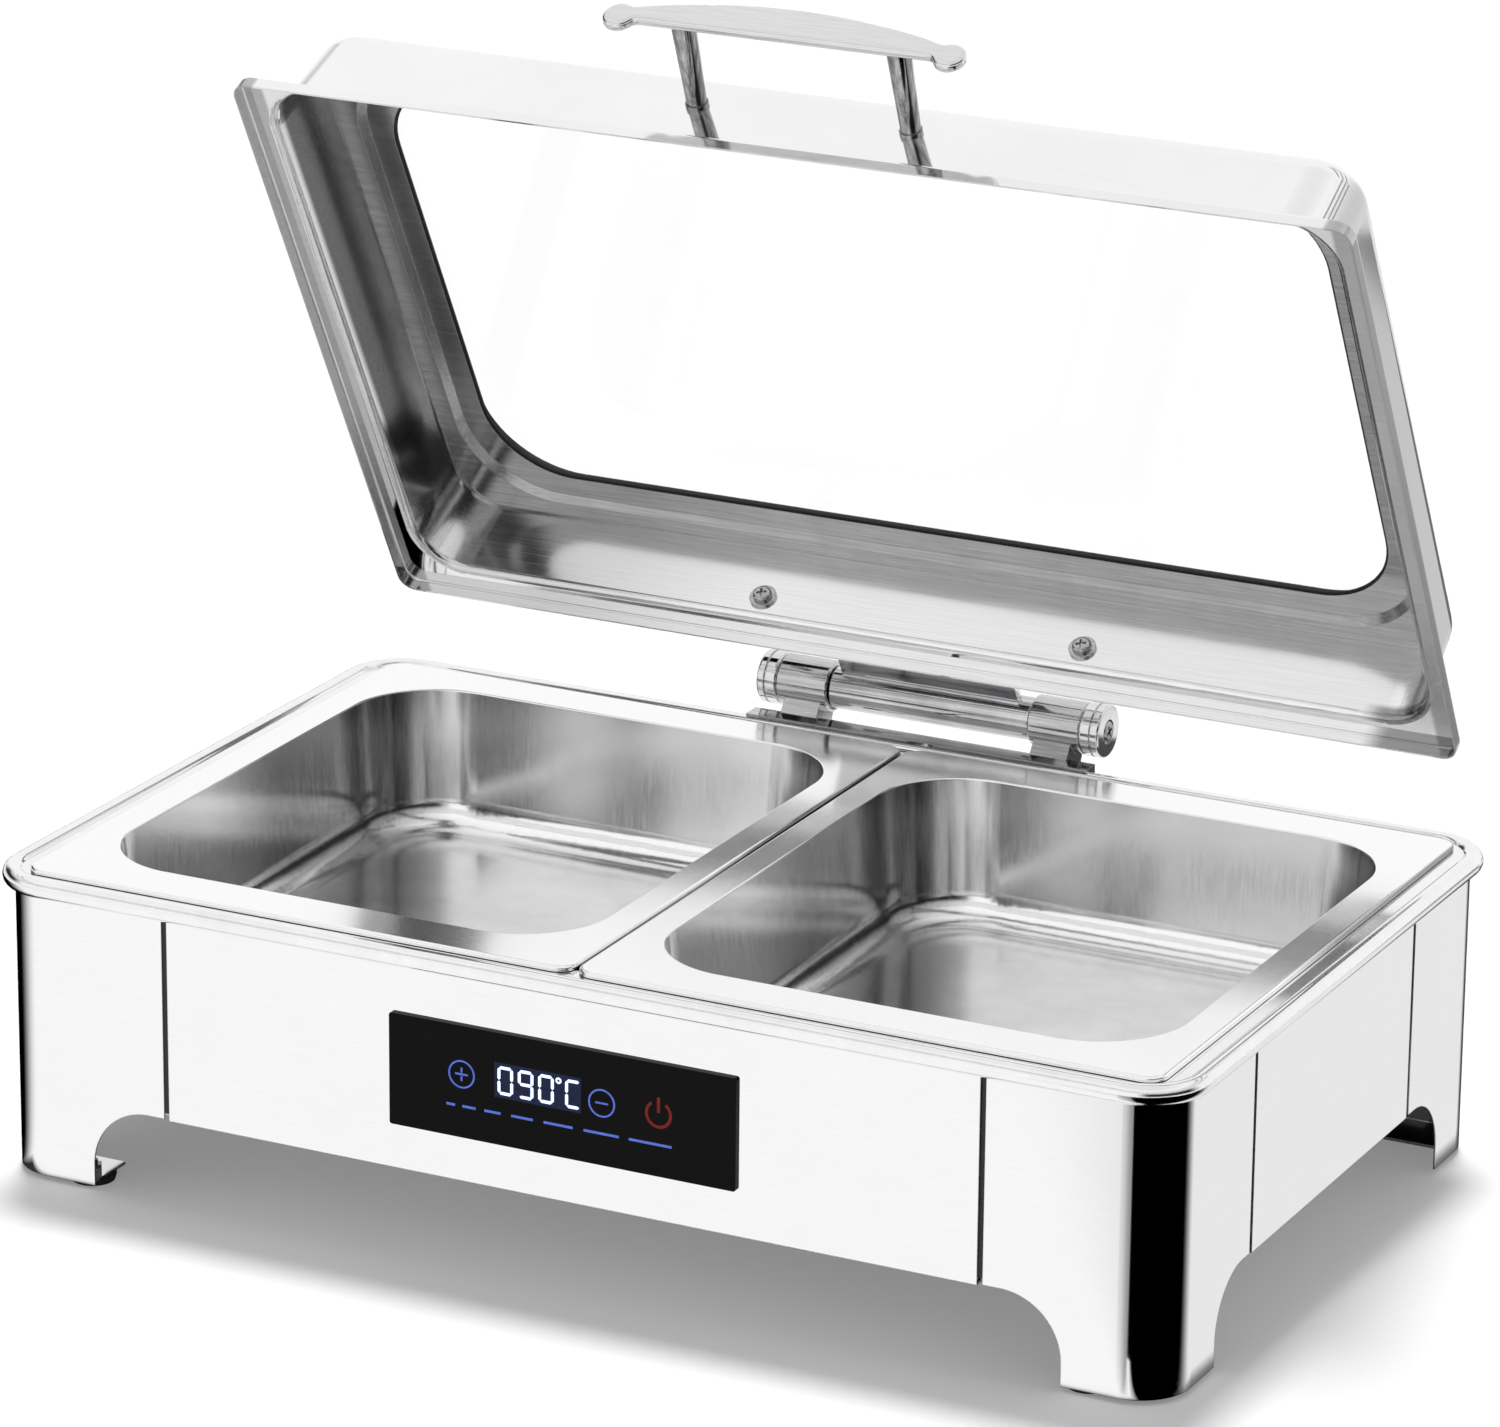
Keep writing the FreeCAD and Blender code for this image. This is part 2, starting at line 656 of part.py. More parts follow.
def mains_inlet():
    """Body of the three-pin appliance inlet, with its flange on the rear panel."""
    y = BODY_Y
    flange = box(INLET_X - 25, INLET_X + 25, y, y + 2.4, INLET_Z - 11.2, INLET_Z + 11.2)
    side = [e for e in flange.Edges if e.BoundBox.YLength > 2.0]
    flange = flange.makeFillet(5.0, side)
    body = box(INLET_X - 13.6, INLET_X + 13.6, y - 24, y, INLET_Z - 9.7, INLET_Z + 9.7)
    inlet = flange.fuse(body)
    w, h, c = 12.0, 8.0, 5.0
    points = [(-w, -h), (w, -h), (w, h - c), (w - c, h), (-w + c, h), (-w, h - c)]
    well = [(INLET_X + u, INLET_Z + v) for u, v in points]
    inlet = inlet.cut(upright(well, "y", 20, y - 15))
    for u, v in INLET_PINS:
        inlet = inlet.cut(pin_shape(u, v))
    for sx in (-1, 1):
        x = INLET_X + sx * 20.0
        inlet = inlet.cut(cyl(1.7, V(x, y - 1, INLET_Z), V(x, y + 3, INLET_Z)))
    return inlet


def inlet_pins():
    """Live, neutral and earth blades, with their solder tabs behind the body."""
    return Part.makeCompound([pin_shape(u, v) for u, v in INLET_PINS])


def inlet_screws():
    screws = []
    for sx in (-1, 1):
        x = INLET_X + sx * 20.0
        y = BODY_Y + 2.4
        shank = cyl(1.6, V(x, y, INLET_Z), V(x, y - 8, INLET_Z))
        nut = hex_nut(5.5, V(x, BODY_Y - SHEET, INLET_Z), V(0, -1, 0), 2.4, 1.6)
        screws.append(pan_head(3.0, 2.0, V(x, y, INLET_Z), Y).fuse([shank, nut]))
    return Part.makeCompound(screws)


# ---------------------------------------------------------------- hinge, base side

def axis_point(x):
    return V(x, HINGE_Y, HINGE_Z)


def hinge_base_bracket():
    """Rear leaf, plate over the rim bead, two arms and two knuckles."""
    plate_z = BEAD_Z + BEAD_R
    top = box(-LEAF_HALF, LEAF_HALF, 167.5, LEAF_Y + LEAF_T, plate_z, plate_z + 1.5)
    leaf = box(-LEAF_HALF, LEAF_HALF, LEAF_Y, LEAF_Y + LEAF_T, 86.0, plate_z + 1.5)
    lower = [e for e in leaf.Edges if e.BoundBox.YLength > 2 and e.BoundBox.ZMax < 90]
    leaf = leaf.makeFillet(8.0, lower)
    bracket = leaf.fuse(top)
    arm = [(LEAF_Y + 0.4, plate_z + 0.5), (LEAF_Y + LEAF_T - 0.2, 112.0), (184.0, 118.0),
           (197.0, 146.0), (HINGE_Y, HINGE_Z), (181.5, HINGE_Z - 3.0)]
    for sx in (-1, 1):
        knuckle = cyl(KNUCKLE_R, axis_point(sx * KNUCKLE_X0), axis_point(sx * KNUCKLE_X1))
        ends = [e for e in knuckle.Edges if e.Curve.TypeId == "Part::GeomCircle"]
        knuckle = knuckle.makeFillet(1.0, ends)
        foot = upright(arm, "x", 18.0, sx * 62.5 - 9.0)
        bracket = bracket.fuse([knuckle, foot])
    for sx in (-1, 1):
        bracket = bracket.cut(cyl(SHAFT_R, axis_point(sx * 40), axis_point(sx * 80)))
        bracket = bracket.cut(cyl(POCKET_R, axis_point(sx * SHAFT_HALF), axis_point(sx * 80)))
    for x, z in HINGE_BOLTS:
        bracket = bracket.cut(cyl(2.6, V(x, LEAF_Y - 1, z), V(x, LEAF_Y + 5, z)))
    return bracket.removeSplitter()


def hinge_inner_plate():
    """Stiffening plate inside the rear panel, against the frame band."""
    y1 = BODY_Y - SHEET - FRAME_T
    plate = box(-LEAF_HALF, LEAF_HALF, y1 - 2.0, y1, 90.0, 127.0)
    for x, z in HINGE_BOLTS:
        plate = plate.cut(cyl(2.6, V(x, y1 - 3, z), V(x, y1 + 1, z)))
    return plate


def hinge_spacers():
    """Tubes between the rear panel and the leaf, one on each bolt."""
    tubes = []
    for x, z in HINGE_BOLTS:
        start = V(x, BODY_Y, z)
        end = V(x, LEAF_Y, z)
        tubes.append(cyl(6.0, start, end).cut(cyl(2.6, start, end)))
    return Part.makeCompound(tubes)


def hinge_bolts():
    bolts = []
    for x, z in HINGE_BOLTS:
        y = LEAF_Y + LEAF_T
        inner = BODY_Y - SHEET - FRAME_T - 2.0
        shank = cyl(2.5, V(x, y, z), V(x, inner - 5.5, z))
        nut = hex_nut(8.0, V(x, inner, z), V(0, -1, 0), 4.0, 2.5)
        bolts.append(pan_head(4.8, 3.0, V(x, y, z), Y).fuse([shank, nut]))
    return Part.makeCompound(bolts)


def sector(r0, r1, x0, x1, middle, width):
    """Wedge of a ring around the hinge axis, angles in degrees from +Y towards +Z."""
    body = cyl(r1, axis_point(x0), axis_point(x1)).cut(cyl(r0, axis_point(x0), axis_point(x1)))
    a0 = math.radians(middle - width / 2)
    a1 = math.radians(middle + width / 2)
    far = 3 * r1
    points = [(HINGE_Y, HINGE_Z), (HINGE_Y + far * math.cos(a0), HINGE_Z + far * math.sin(a0)),
              (HINGE_Y + far * math.cos(a1), HINGE_Z + far * math.sin(a1))]
    return body.common(upright(points, "x", x1 - x0, x0))


def hinge_shaft():
    """Fixed shaft with the damper's vane."""
    shaft = cyl(SHAFT_R, axis_point(-SHAFT_HALF), axis_point(SHAFT_HALF))
    vane = sector(SHAFT_R - 0.5, TUBE_BORE - 0.3, -40, 40, -120, 30)
    return shaft.fuse(vane)


def hinge_cap(sx):
    """End cap screwed into a knuckle; its bore guides the adjuster."""
    flange = cyl(CAP_R, axis_point(sx * KNUCKLE_X1), axis_point(sx * CAP_X1))
    rims = [e for e in flange.Edges if e.Curve.TypeId == "Part::GeomCircle"]
    flange = flange.makeFillet(1.2, rims)
    groove_a = axis_point(sx * (CAP_X1 - 4.6))
    groove_b = axis_point(sx * (CAP_X1 - 3.6))
    groove = cyl(CAP_R + 1, groove_a, groove_b).cut(cyl(CAP_R - 0.8, groove_a, groove_b))
    spigot = cyl(POCKET_R, axis_point(sx * (KNUCKLE_X1 - 3.5)), axis_point(sx * (KNUCKLE_X1 + 1)))
    cap = flange.cut(groove).fuse(spigot)
    cap = cap.cut(cyl(ADJUSTER_R + RUNNING, axis_point(sx * 60), axis_point(sx * 90)))
    well_r = 5.4
    return cap.cut(cyl(well_r, axis_point(sx * (CAP_X1 - 2.0)), axis_point(sx * 90)))


def hinge_adjuster(sx):
    """Cross-slotted screw in the cap that loads the disc springs."""
    stem = cyl(ADJUSTER_R, axis_point(sx * (SHAFT_HALF + 6.4)), axis_point(sx * (CAP_X1 - 1.6)))
    head = pan_head(4.9, 2.2, axis_point(sx * (CAP_X1 - 1.7)), V(sx, 0, 0))
    return stem.fuse(head)


def disc_springs():
    """Four cupped washers in each knuckle's pocket."""
    cups = []
    for sx in (-1, 1):
        for i in range(4):
            x0 = SHAFT_HALF + 1.5 * i
            washer = cyl(7.9, axis_point(sx * x0), axis_point(sx * (x0 + 1.4)))
            bore = cone(3.6 if i % 2 else 4.8, 4.8 if i % 2 else 3.6,
                        axis_point(sx * x0), axis_point(sx * (x0 + 1.4)))
            cups.append(washer.cut(bore))
    return Part.makeCompound(cups)


# ---------------------------------------------------------------- hinge, lid side

def damper_tube():
    """Tube that turns with the lid, with the damper's barrier inside."""
    start = axis_point(-TUBE_HALF)
    end = axis_point(TUBE_HALF)
    tube = cyl(TUBE_R, start, end)
    ends = [e for e in tube.Edges if e.Curve.TypeId == "Part::GeomCircle"]
    tube = tube.makeFillet(0.8, ends).cut(cyl(TUBE_BORE, start, end))
    barrier = sector(SHAFT_R + 0.3, TUBE_BORE + 0.5, -40, 40, 30, 30)
    return opened(tube.fuse(barrier))


def tube_bushings():
    rings = []
    for sx in (-1, 1):
        a = axis_point(sx * (TUBE_HALF - 6))
        b = axis_point(sx * TUBE_HALF)
        rings.append(cyl(TUBE_BORE, a, b).cut(cyl(SHAFT_R + RUNNING, a, b)))
    return opened(Part.makeCompound(rings))


def wall_y(h):
    """Y of the dome's outer rear face at height h above the flange."""
    return DOME_Y - h * math.tan(math.radians(DOME_DRAFT))


def lid_hinge_bracket():
    """Leaf on the dome's rear wall, an arm to the tube and two gussets."""
    thick = 2.5
    low, high = 4.6, 27.2
    leaf_points = [(wall_y(low), LID_Z + low), (wall_y(low) + thick, LID_Z + low),
                   (wall_y(high) + thick, LID_Z + high), (wall_y(high), LID_Z + high)]
    leaf = upright(leaf_points, "x", 184.0, -92.0)
    arm = box(-44, 44, wall_y(6) + 0.5, HINGE_Y - 5, HINGE_Z - 2.0, HINGE_Z + 2.0)
    bracket = leaf.fuse(arm)
    gusset = [(wall_y(26) + 1, LID_Z + 26), (wall_y(8) + 1, HINGE_Z), (174.0, HINGE_Z)]
    for x in (-40.0, -1.5, 37.0):
        bracket = bracket.fuse(upright(gusset, "x", 3.0, x))
    bracket = bracket.cut(cyl(TUBE_R, axis_point(-60), axis_point(60)))
    way = wall_normal()
    for foot in lid_screw_feet():
        bracket = bracket.cut(cyl(2.6, foot - way * 3, foot + way * 6))
    return opened(bracket.removeSplitter())


def wall_normal():
    a = math.radians(DOME_DRAFT)
    return V(0, math.cos(a), math.sin(a))


def lid_screw_feet():
    """Points on the dome's outer rear wall where the lid screws pass."""
    return [V(sx * LID_SCREW_X, wall_y(LID_SCREW_H), LID_Z + LID_SCREW_H) for sx in (-1, 1)]


# ---------------------------------------------------------------- lid

def dome_block(d):
    """Outside of the dome drawn in by d on every side."""
    run = (DOME_H - d) * math.tan(math.radians(DOME_DRAFT))
    low = (DOME_X - d, DOME_Y - d, DOME_R - d)
    high = (DOME_X - d - run, DOME_Y - d - run, DOME_R - d - run * 0.5)
    top = LID_Z + DOME_H - d
    block = taper(low, high, LID_Z, top)
    return block.makeFillet(DOME_SHOULDER - d, flat_edges(block, top))


def window(d, r, h0, h1):
    return slab(PANE_X + d, PANE_Y + d, r, LID_Z + h0, LID_Z + h1, 0, WINDOW_MID)


def window_taper(d0, d1, r, h0, h1):
    """Block with the window's outline grown by d0 at height h0 and by d1 at h1."""
    low = (PANE_X + d0, PANE_Y + d0, r + d0 * 0.4)
    high = (PANE_X + d1, PANE_Y + d1, r + d1 * 0.4)
    return taper(low, high, LID_Z + h0, LID_Z + h1, 0, WINDOW_MID)


def rolled_foot(body, z, radius):
    """Round the inward corner where the dome rises from a level face at height z."""
    corner = []
    for edge in flat_edges(body, z):
        b = edge.BoundBox
        if max(-b.XMin, b.XMax) < DOME_X + 0.1 and max(-b.YMin, b.YMax) < DOME_Y + 0.1:
            corner.append(edge)
    return body.makeFillet(radius, corner)


def lid_shell():
    """Pressed lid: flange with a turned-down lip, dome and the window opening."""
    mid = (LID_REAR + LID_FRONT) / 2
    half = (LID_REAR - LID_FRONT) / 2
    plate = slab(LID_X, half, LID_R, LID_Z - LID_LIP, LID_Z + SHEET, 0, mid)
    plate = plate.makeFillet(1.8, flat_edges(plate, LID_Z + SHEET))
    inside = slab(LID_X - SHEET, half - SHEET, LID_R - SHEET, LID_Z - LID_LIP, LID_Z, 0, mid)
    inside = inside.makeFillet(1.0, flat_edges(inside, LID_Z))
    outer = rolled_foot(plate.fuse(dome_block(0)), LID_Z + SHEET, DOME_FOOT)
    inner = rolled_foot(inside.fuse(dome_block(SHEET)), LID_Z, DOME_FOOT + SHEET)
    shell = outer.cut(inner)
    shell = shell.cut(window(8.2, PANE_R + 8.2, DOME_H - 3, DOME_H + 3))
    way = wall_normal()
    for foot in lid_screw_feet():
        shell = shell.cut(cyl(2.6, foot - way * 3, foot + way * 3))
    for sx in (-1, 1):
        start, way = post_line(sx)
        shell = shell.cut(cyl(2.1, start - way * 4, start + way * 3))
    return opened(shell)


def window_frame():
    """Inner frame under the glass: ledge along the wall, step and ring."""
    outer = dome_block(SHEET)
    ledge = slab(300, 200, 10, LID_Z + LEDGE_H, LID_Z + LEDGE_H + SHEET).common(outer)
    low_d = STEP_D + STEP_SLANT
    top = RING_H + SHEET
    step = window_taper(low_d, STEP_D, PANE_R, LEDGE_H, top)
    ledge = ledge.cut(window_taper(low_d, STEP_D, PANE_R, LEDGE_H, top))
    step = step.cut(window_taper(low_d - SHEET, STEP_D - SHEET, PANE_R, LEDGE_H, RING_H))
    step = step.cut(window(1.2, PANE_R + 1.2, LEDGE_H, top))
    return opened(ledge.fuse(step).removeSplitter())


def window_gasket():
    """Black rubber channel round the edge of the glass."""
    top = DOME_H - SHEET
    edge = 8.0
    ring_outer = window(edge + 1.8, PANE_R + 9.8, RING_H + SHEET, top)
    hole = window(0, PANE_R, RING_H + SHEET, top)
    pane = window(edge, PANE_R + edge, PANE_H, PANE_H + PANE_T)
    gasket = ring_outer.cut(hole).cut(pane)
    gasket = gasket.cut(window(5.5, PANE_R + 5.5, PANE_H + PANE_T, top))
    lip = window(8.2, PANE_R + 8.2, top, DOME_H).cut(window(5.5, PANE_R + 5.5, top, DOME_H))
    return opened(gasket.fuse(lip).removeSplitter())


def window_pane():
    return opened(window(8.0, PANE_R + 8.0, PANE_H, PANE_H + PANE_T))


def frame_clips():
    """Small spring clips that hold the inner frame up against the dome."""
    clips = []
    for x in (-75.0, 75.0):
        for sy in (-1, 1):
            y = WINDOW_MID + sy * (PANE_Y + 11.2)
            z = LID_Z + RING_H + SHEET
            clip = box(x - 7, x + 7, y - 1.0, y + 1.0, z, LID_Z + DOME_H - SHEET)
            clips.append(clip.common(dome_block(SHEET)))
    return opened(Part.makeCompound(clips))


def post_line(sx):
    """Foot of a handle post on the front wall, and the way it points."""
    y = -DOME_Y + POST_H * math.tan(math.radians(DOME_DRAFT))
    a = math.radians(POST_TILT)
    return V(sx * POST_X, y, LID_Z + POST_H), V(0, -math.cos(a), math.sin(a))


def front_wall_half():
    """Everything outside the dome, used to fit the posts to the sloping wall."""
    return box(-300, 300, -300, 0, 0, 400).cut(dome_block(0))


def handle_post(sx):
    """Tapered round post with a collar where it meets the dome."""
    start, way = post_line(sx)
    post = cone(4.4, 5.4, start - way * 2, start + way * POST_LONG)
    collar = cyl(5.1, start - way * 2, start + way * 1.8)
    post = post.fuse(collar).common(front_wall_half())
    post = post.cut(cyl(2.1, start - way * 4, start + way * 12))
    return opened(post.cut(grip_block()))


def grip_block():
    """Grip seen from the front: arched top, level underside and a round end at each side."""
    base = LID_Z

    def p(x, h):
        return V(x, GRIP_Y, base + h)

    reach = GRIP_END_X - 2.0
    edges = [
        Part.Arc(p(-reach, GRIP_SIDE), p(0, GRIP_MIDDLE), p(reach, GRIP_SIDE)).toShape(),
        Part.makeLine(p(reach, GRIP_SIDE), p(reach, GRIP_UNDER)),
        Part.makeLine(p(reach, GRIP_UNDER), p(-reach, GRIP_UNDER)),
        Part.makeLine(p(-reach, GRIP_UNDER), p(-reach, GRIP_SIDE)),
    ]
    block = Part.Face(Part.Wire(edges)).extrude(V(0, GRIP_T, 0))
    for sx in (-1, 1):
        middle = p(sx * GRIP_END_X, GRIP_END_H)
        block = block.fuse(cyl(GRIP_END_R, middle, middle + V(0, GRIP_T, 0)))
    block = block.removeSplitter()
    junctions = [e for e in block.Edges
                 if e.BoundBox.YLength > GRIP_T - 0.1 and abs(e.CenterOfMass.x) < GRIP_END_X - 1]
    return block.makeFillet(4.5, junctions)


def handle_grip():
    """Grip across the two posts, with softened edges."""
    grip = grip_block()
    rims = [e for e in grip.Edges if e.BoundBox.YLength < 0.01]
    return opened(grip.makeFillet(1.9, rims))


def handle_screws():
    """Two screws from inside the dome into the posts, on washers."""
    screws = []
    for sx in (-1, 1):
        start, way = post_line(sx)
        inner = start - way * (SHEET * 1.02)
        shank = cyl(2.0, inner - way * 1.6, start + way * 11)
        washer = cyl(5.0, inner - way * 1.6, inner + way * 2).common(dome_block(SHEET))
        head = pan_head(4.0, 2.4, inner - way * 1.6, way * -1)
        screws.append(shank.fuse([washer, head]))
    return opened(Part.makeCompound(screws))


def lid_screws():
    """Two cross-head screws inside the dome's rear wall, with the nuts on the hinge leaf."""
    way = wall_normal()
    screws = []
    for foot in lid_screw_feet():
        inner = foot - way * SHEET
        head = pan_head(4.4, 2.6, inner - way * 1.2, way * -1)
        shank = cyl(2.5, inner - way * 1.2, foot + way * 8.0)
        nut = hex_nut(8.0, foot + way * 2.5, way, 4.0, 2.5)
        screws.append(head.fuse([shank, nut]))
    return opened(Part.makeCompound(screws))


def lid_washers():
    way = wall_normal()
    washers = []
    for foot in lid_screw_feet():
        inner = foot - way * SHEET
        disc = cyl(6.3, inner - way * 1.2, inner).cut(cyl(2.5, inner - way * 1.2, inner))
        washers.append(disc)
    return opened(Part.makeCompound(washers))


def build():
    corner = leg_corner()
    for end, sy in (("front", -1), ("rear", 1)):
        for side, sx in (("left", -1), ("right", 1)):
            save("leg_" + end + "_" + side, mirrored(corner, sx, sy))
    save("front_panel", front_panel())
    save("rear_panel", rear_panel())
    for side, sx in (("left", -1), ("right", 1)):
        save("side_panel_" + side, side_panel(sx))
        save("food_pan_" + side, food_pan(sx))
        save("heater_plate_" + side, heater_plate(sx))
        save("hinge_cap_" + side, hinge_cap(sx))
        save("hinge_adjuster_" + side, hinge_adjuster(sx))
        save("handle_post_" + side, handle_post(sx))
    singles = [chassis_frame, rim, water_pan, bottom_cover, cover_screws, rubber_feet, foot_screws,
               heater_clamps, temperature_sensor, thermal_cutout, control_glass, display_module,
               touch_board, touch_springs, control_box, power_board, board_standoffs, terminal_block,
               wiring_loom, mains_inlet, inlet_pins, inlet_screws, hinge_base_bracket, hinge_inner_plate,
               hinge_spacers, hinge_bolts, hinge_shaft, disc_springs, damper_tube, tube_bushings,
               lid_hinge_bracket, lid_shell, window_frame, window_gasket, window_pane, frame_clips,
               handle_grip, handle_screws, lid_screws, lid_washers]
    for piece in singles:
        save(piece.__name__, piece())


build()
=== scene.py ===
import math

import bmesh
import bpy
from mathutils import Matrix, Vector


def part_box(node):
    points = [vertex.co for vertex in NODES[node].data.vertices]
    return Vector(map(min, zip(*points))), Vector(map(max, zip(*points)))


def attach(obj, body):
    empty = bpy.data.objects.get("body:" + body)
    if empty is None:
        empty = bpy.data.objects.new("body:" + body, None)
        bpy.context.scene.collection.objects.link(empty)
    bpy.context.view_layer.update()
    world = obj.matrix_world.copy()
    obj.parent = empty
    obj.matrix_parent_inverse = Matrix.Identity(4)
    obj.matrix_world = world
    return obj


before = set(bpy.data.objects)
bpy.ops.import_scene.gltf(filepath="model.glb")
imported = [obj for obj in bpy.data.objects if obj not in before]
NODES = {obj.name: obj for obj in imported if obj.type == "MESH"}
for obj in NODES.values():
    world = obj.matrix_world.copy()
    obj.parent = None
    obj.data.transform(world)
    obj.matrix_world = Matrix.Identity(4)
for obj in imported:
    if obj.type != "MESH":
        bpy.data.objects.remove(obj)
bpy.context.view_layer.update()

# ------------------------------------------------------------------ places, in metres

GLASS_LOW, GLASS_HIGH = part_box("control_glass")
LEG_LOW, LEG_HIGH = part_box("leg_front_right")
REAR_LEG_LOW, REAR_LEG_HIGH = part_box("leg_rear_right")
LID_LOW, LID_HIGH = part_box("lid_shell")
PANE_LOW, PANE_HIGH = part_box("window_pane")
BODY_FRONT = LEG_LOW.y
BODY_REAR = REAR_LEG_HIGH.y
BODY_X = LEG_HIGH.x
CORNER_R = 0.023
LID_OPEN = math.radians(61.2)


# ------------------------------------------------------------------ node helpers

def add(tree, kind, **values):
    made = tree.nodes.new(kind)
    for key, value in values.items():
        setattr(made, key, value)
    return made


def link(tree, value, socket):
    if isinstance(value, bpy.types.NodeSocket):
        tree.links.new(value, socket)
    else:
        socket.default_value = value


def maths(tree, operation, a, b=None, clamp=False):
    made = add(tree, "ShaderNodeMath", operation=operation, use_clamp=clamp)
    link(tree, a, made.inputs[0])
    if b is not None:
        link(tree, b, made.inputs[1])
    return made.outputs[0]


def ranged(tree, value, low, high, to_low, to_high, smooth=False):
    made = add(tree, "ShaderNodeMapRange", clamp=True)
    if smooth:
        made.interpolation_type = "SMOOTHSTEP"
    for socket, entry in zip(made.inputs, (value, low, high, to_low, to_high)):
        link(tree, entry, socket)
    return made.outputs[0]


def coords(tree, scale=(1, 1, 1), turn=(0, 0, 0)):
    """Object coordinates in metres, scaled and turned: they move with the part."""
    place = add(tree, "ShaderNodeTexCoord")
    mapping = add(tree, "ShaderNodeMapping")
    mapping.inputs["Scale"].default_value = scale
    mapping.inputs["Rotation"].default_value = turn
    tree.links.new(place.outputs["Object"], mapping.inputs["Vector"])
    return mapping.outputs[0]


def noise(tree, vector, scale=1.0, detail=3.0, rough=0.55):
    made = add(tree, "ShaderNodeTexNoise")
    tree.links.new(vector, made.inputs["Vector"])
    made.inputs["Scale"].default_value = scale
    made.inputs["Detail"].default_value = detail
    made.inputs["Roughness"].default_value = rough
    return made.outputs["Fac"]


def blend_color(tree, factor, low, high):
    made = add(tree, "ShaderNodeMix", data_type="RGBA")
    link(tree, factor, made.inputs["Factor"])
    link(tree, (*low, 1.0) if isinstance(low, tuple) else low, made.inputs[6])
    link(tree, (*high, 1.0) if isinstance(high, tuple) else high, made.inputs[7])
    return made.outputs[2]


def bump(tree, height, distance, strength=1.0, normal=None):
    made = add(tree, "ShaderNodeBump")
    made.inputs["Strength"].default_value = strength
    made.inputs["Distance"].default_value = distance
    tree.links.new(height, made.inputs["Height"])
    if normal is not None:
        tree.links.new(normal, made.inputs["Normal"])
    return made.outputs[0]


def material(name, metallic=0.0, specular=0.5, ior=1.5):
    made = bpy.data.materials.new(name)
    made.use_nodes = True
    tree = made.node_tree
    tree.nodes.clear()
    output = add(tree, "ShaderNodeOutputMaterial")
    shader = add(tree, "ShaderNodeBsdfPrincipled")
    tree.links.new(shader.outputs[0], output.inputs[0])
    shader.inputs["Metallic"].default_value = metallic
    shader.inputs["Specular IOR Level"].default_value = specular
    shader.inputs["IOR"].default_value = ior
    return made, tree, shader


# ------------------------------------------------------------------ materials

def soft_edges(tree, radius):
    made = add(tree, "ShaderNodeBevel", samples=4)
    made.inputs["Radius"].default_value = radius
    return made.outputs[0]


def paint_edge_shade(tree, color, rounded, depth):
    """Painted shade along sharp edges: darker metal where the rounded normal leaves the flat one."""
    flat = add(tree, "ShaderNodeNewGeometry")
    near = add(tree, "ShaderNodeVectorMath", operation="DOT_PRODUCT")
    tree.links.new(flat.outputs["Normal"], near.inputs[0])
    tree.links.new(rounded, near.inputs[1])
    mask = ranged(tree, near.outputs["Value"], 0.66, 0.92, depth, 0.0, True)
    return blend_color(tree, mask, color, (0.03, 0.03, 0.032))


def metal(name, dark, light, rough, grain=(1, 1, 1), grain_bump=0.0, smudge=0.03, edge=0.0, edge_shade=0.0):
    """Metal with drawn grain along one axis, soft stains and optional rounded edges with painted shade along
    them.
    """
    made, tree, shader = material(name, metallic=1.0)
    streaks = noise(tree, coords(tree, grain), 1.0, 4.0, 0.6)
    stains = noise(tree, coords(tree), 22.0, 4.0, 0.6)
    tone = maths(tree, "ADD", maths(tree, "MULTIPLY", streaks, 0.6), maths(tree, "MULTIPLY", stains, 0.4))
    normal = soft_edges(tree, edge) if edge else None
    color = blend_color(tree, ranged(tree, tone, 0.35, 0.65, 0, 1), dark, light)
    # painted shade: near-black metal along sharp edges
    if edge_shade:
        color = paint_edge_shade(tree, color, normal, edge_shade)
    tree.links.new(color, shader.inputs["Base Color"])
    rub = maths(tree, "MULTIPLY", maths(tree, "SUBTRACT", streaks, 0.5), rough[1] - rough[0])
    stain = maths(tree, "MULTIPLY", maths(tree, "SUBTRACT", stains, 0.5), smudge)
    total = maths(tree, "ADD", maths(tree, "ADD", rub, stain), (rough[0] + rough[1]) / 2, clamp=True)
    tree.links.new(total, shader.inputs["Roughness"])
    if grain_bump:
        normal = bump(tree, streaks, grain_bump, normal=normal)
    if normal is not None:
        tree.links.new(normal, shader.inputs["Normal"])
    return made


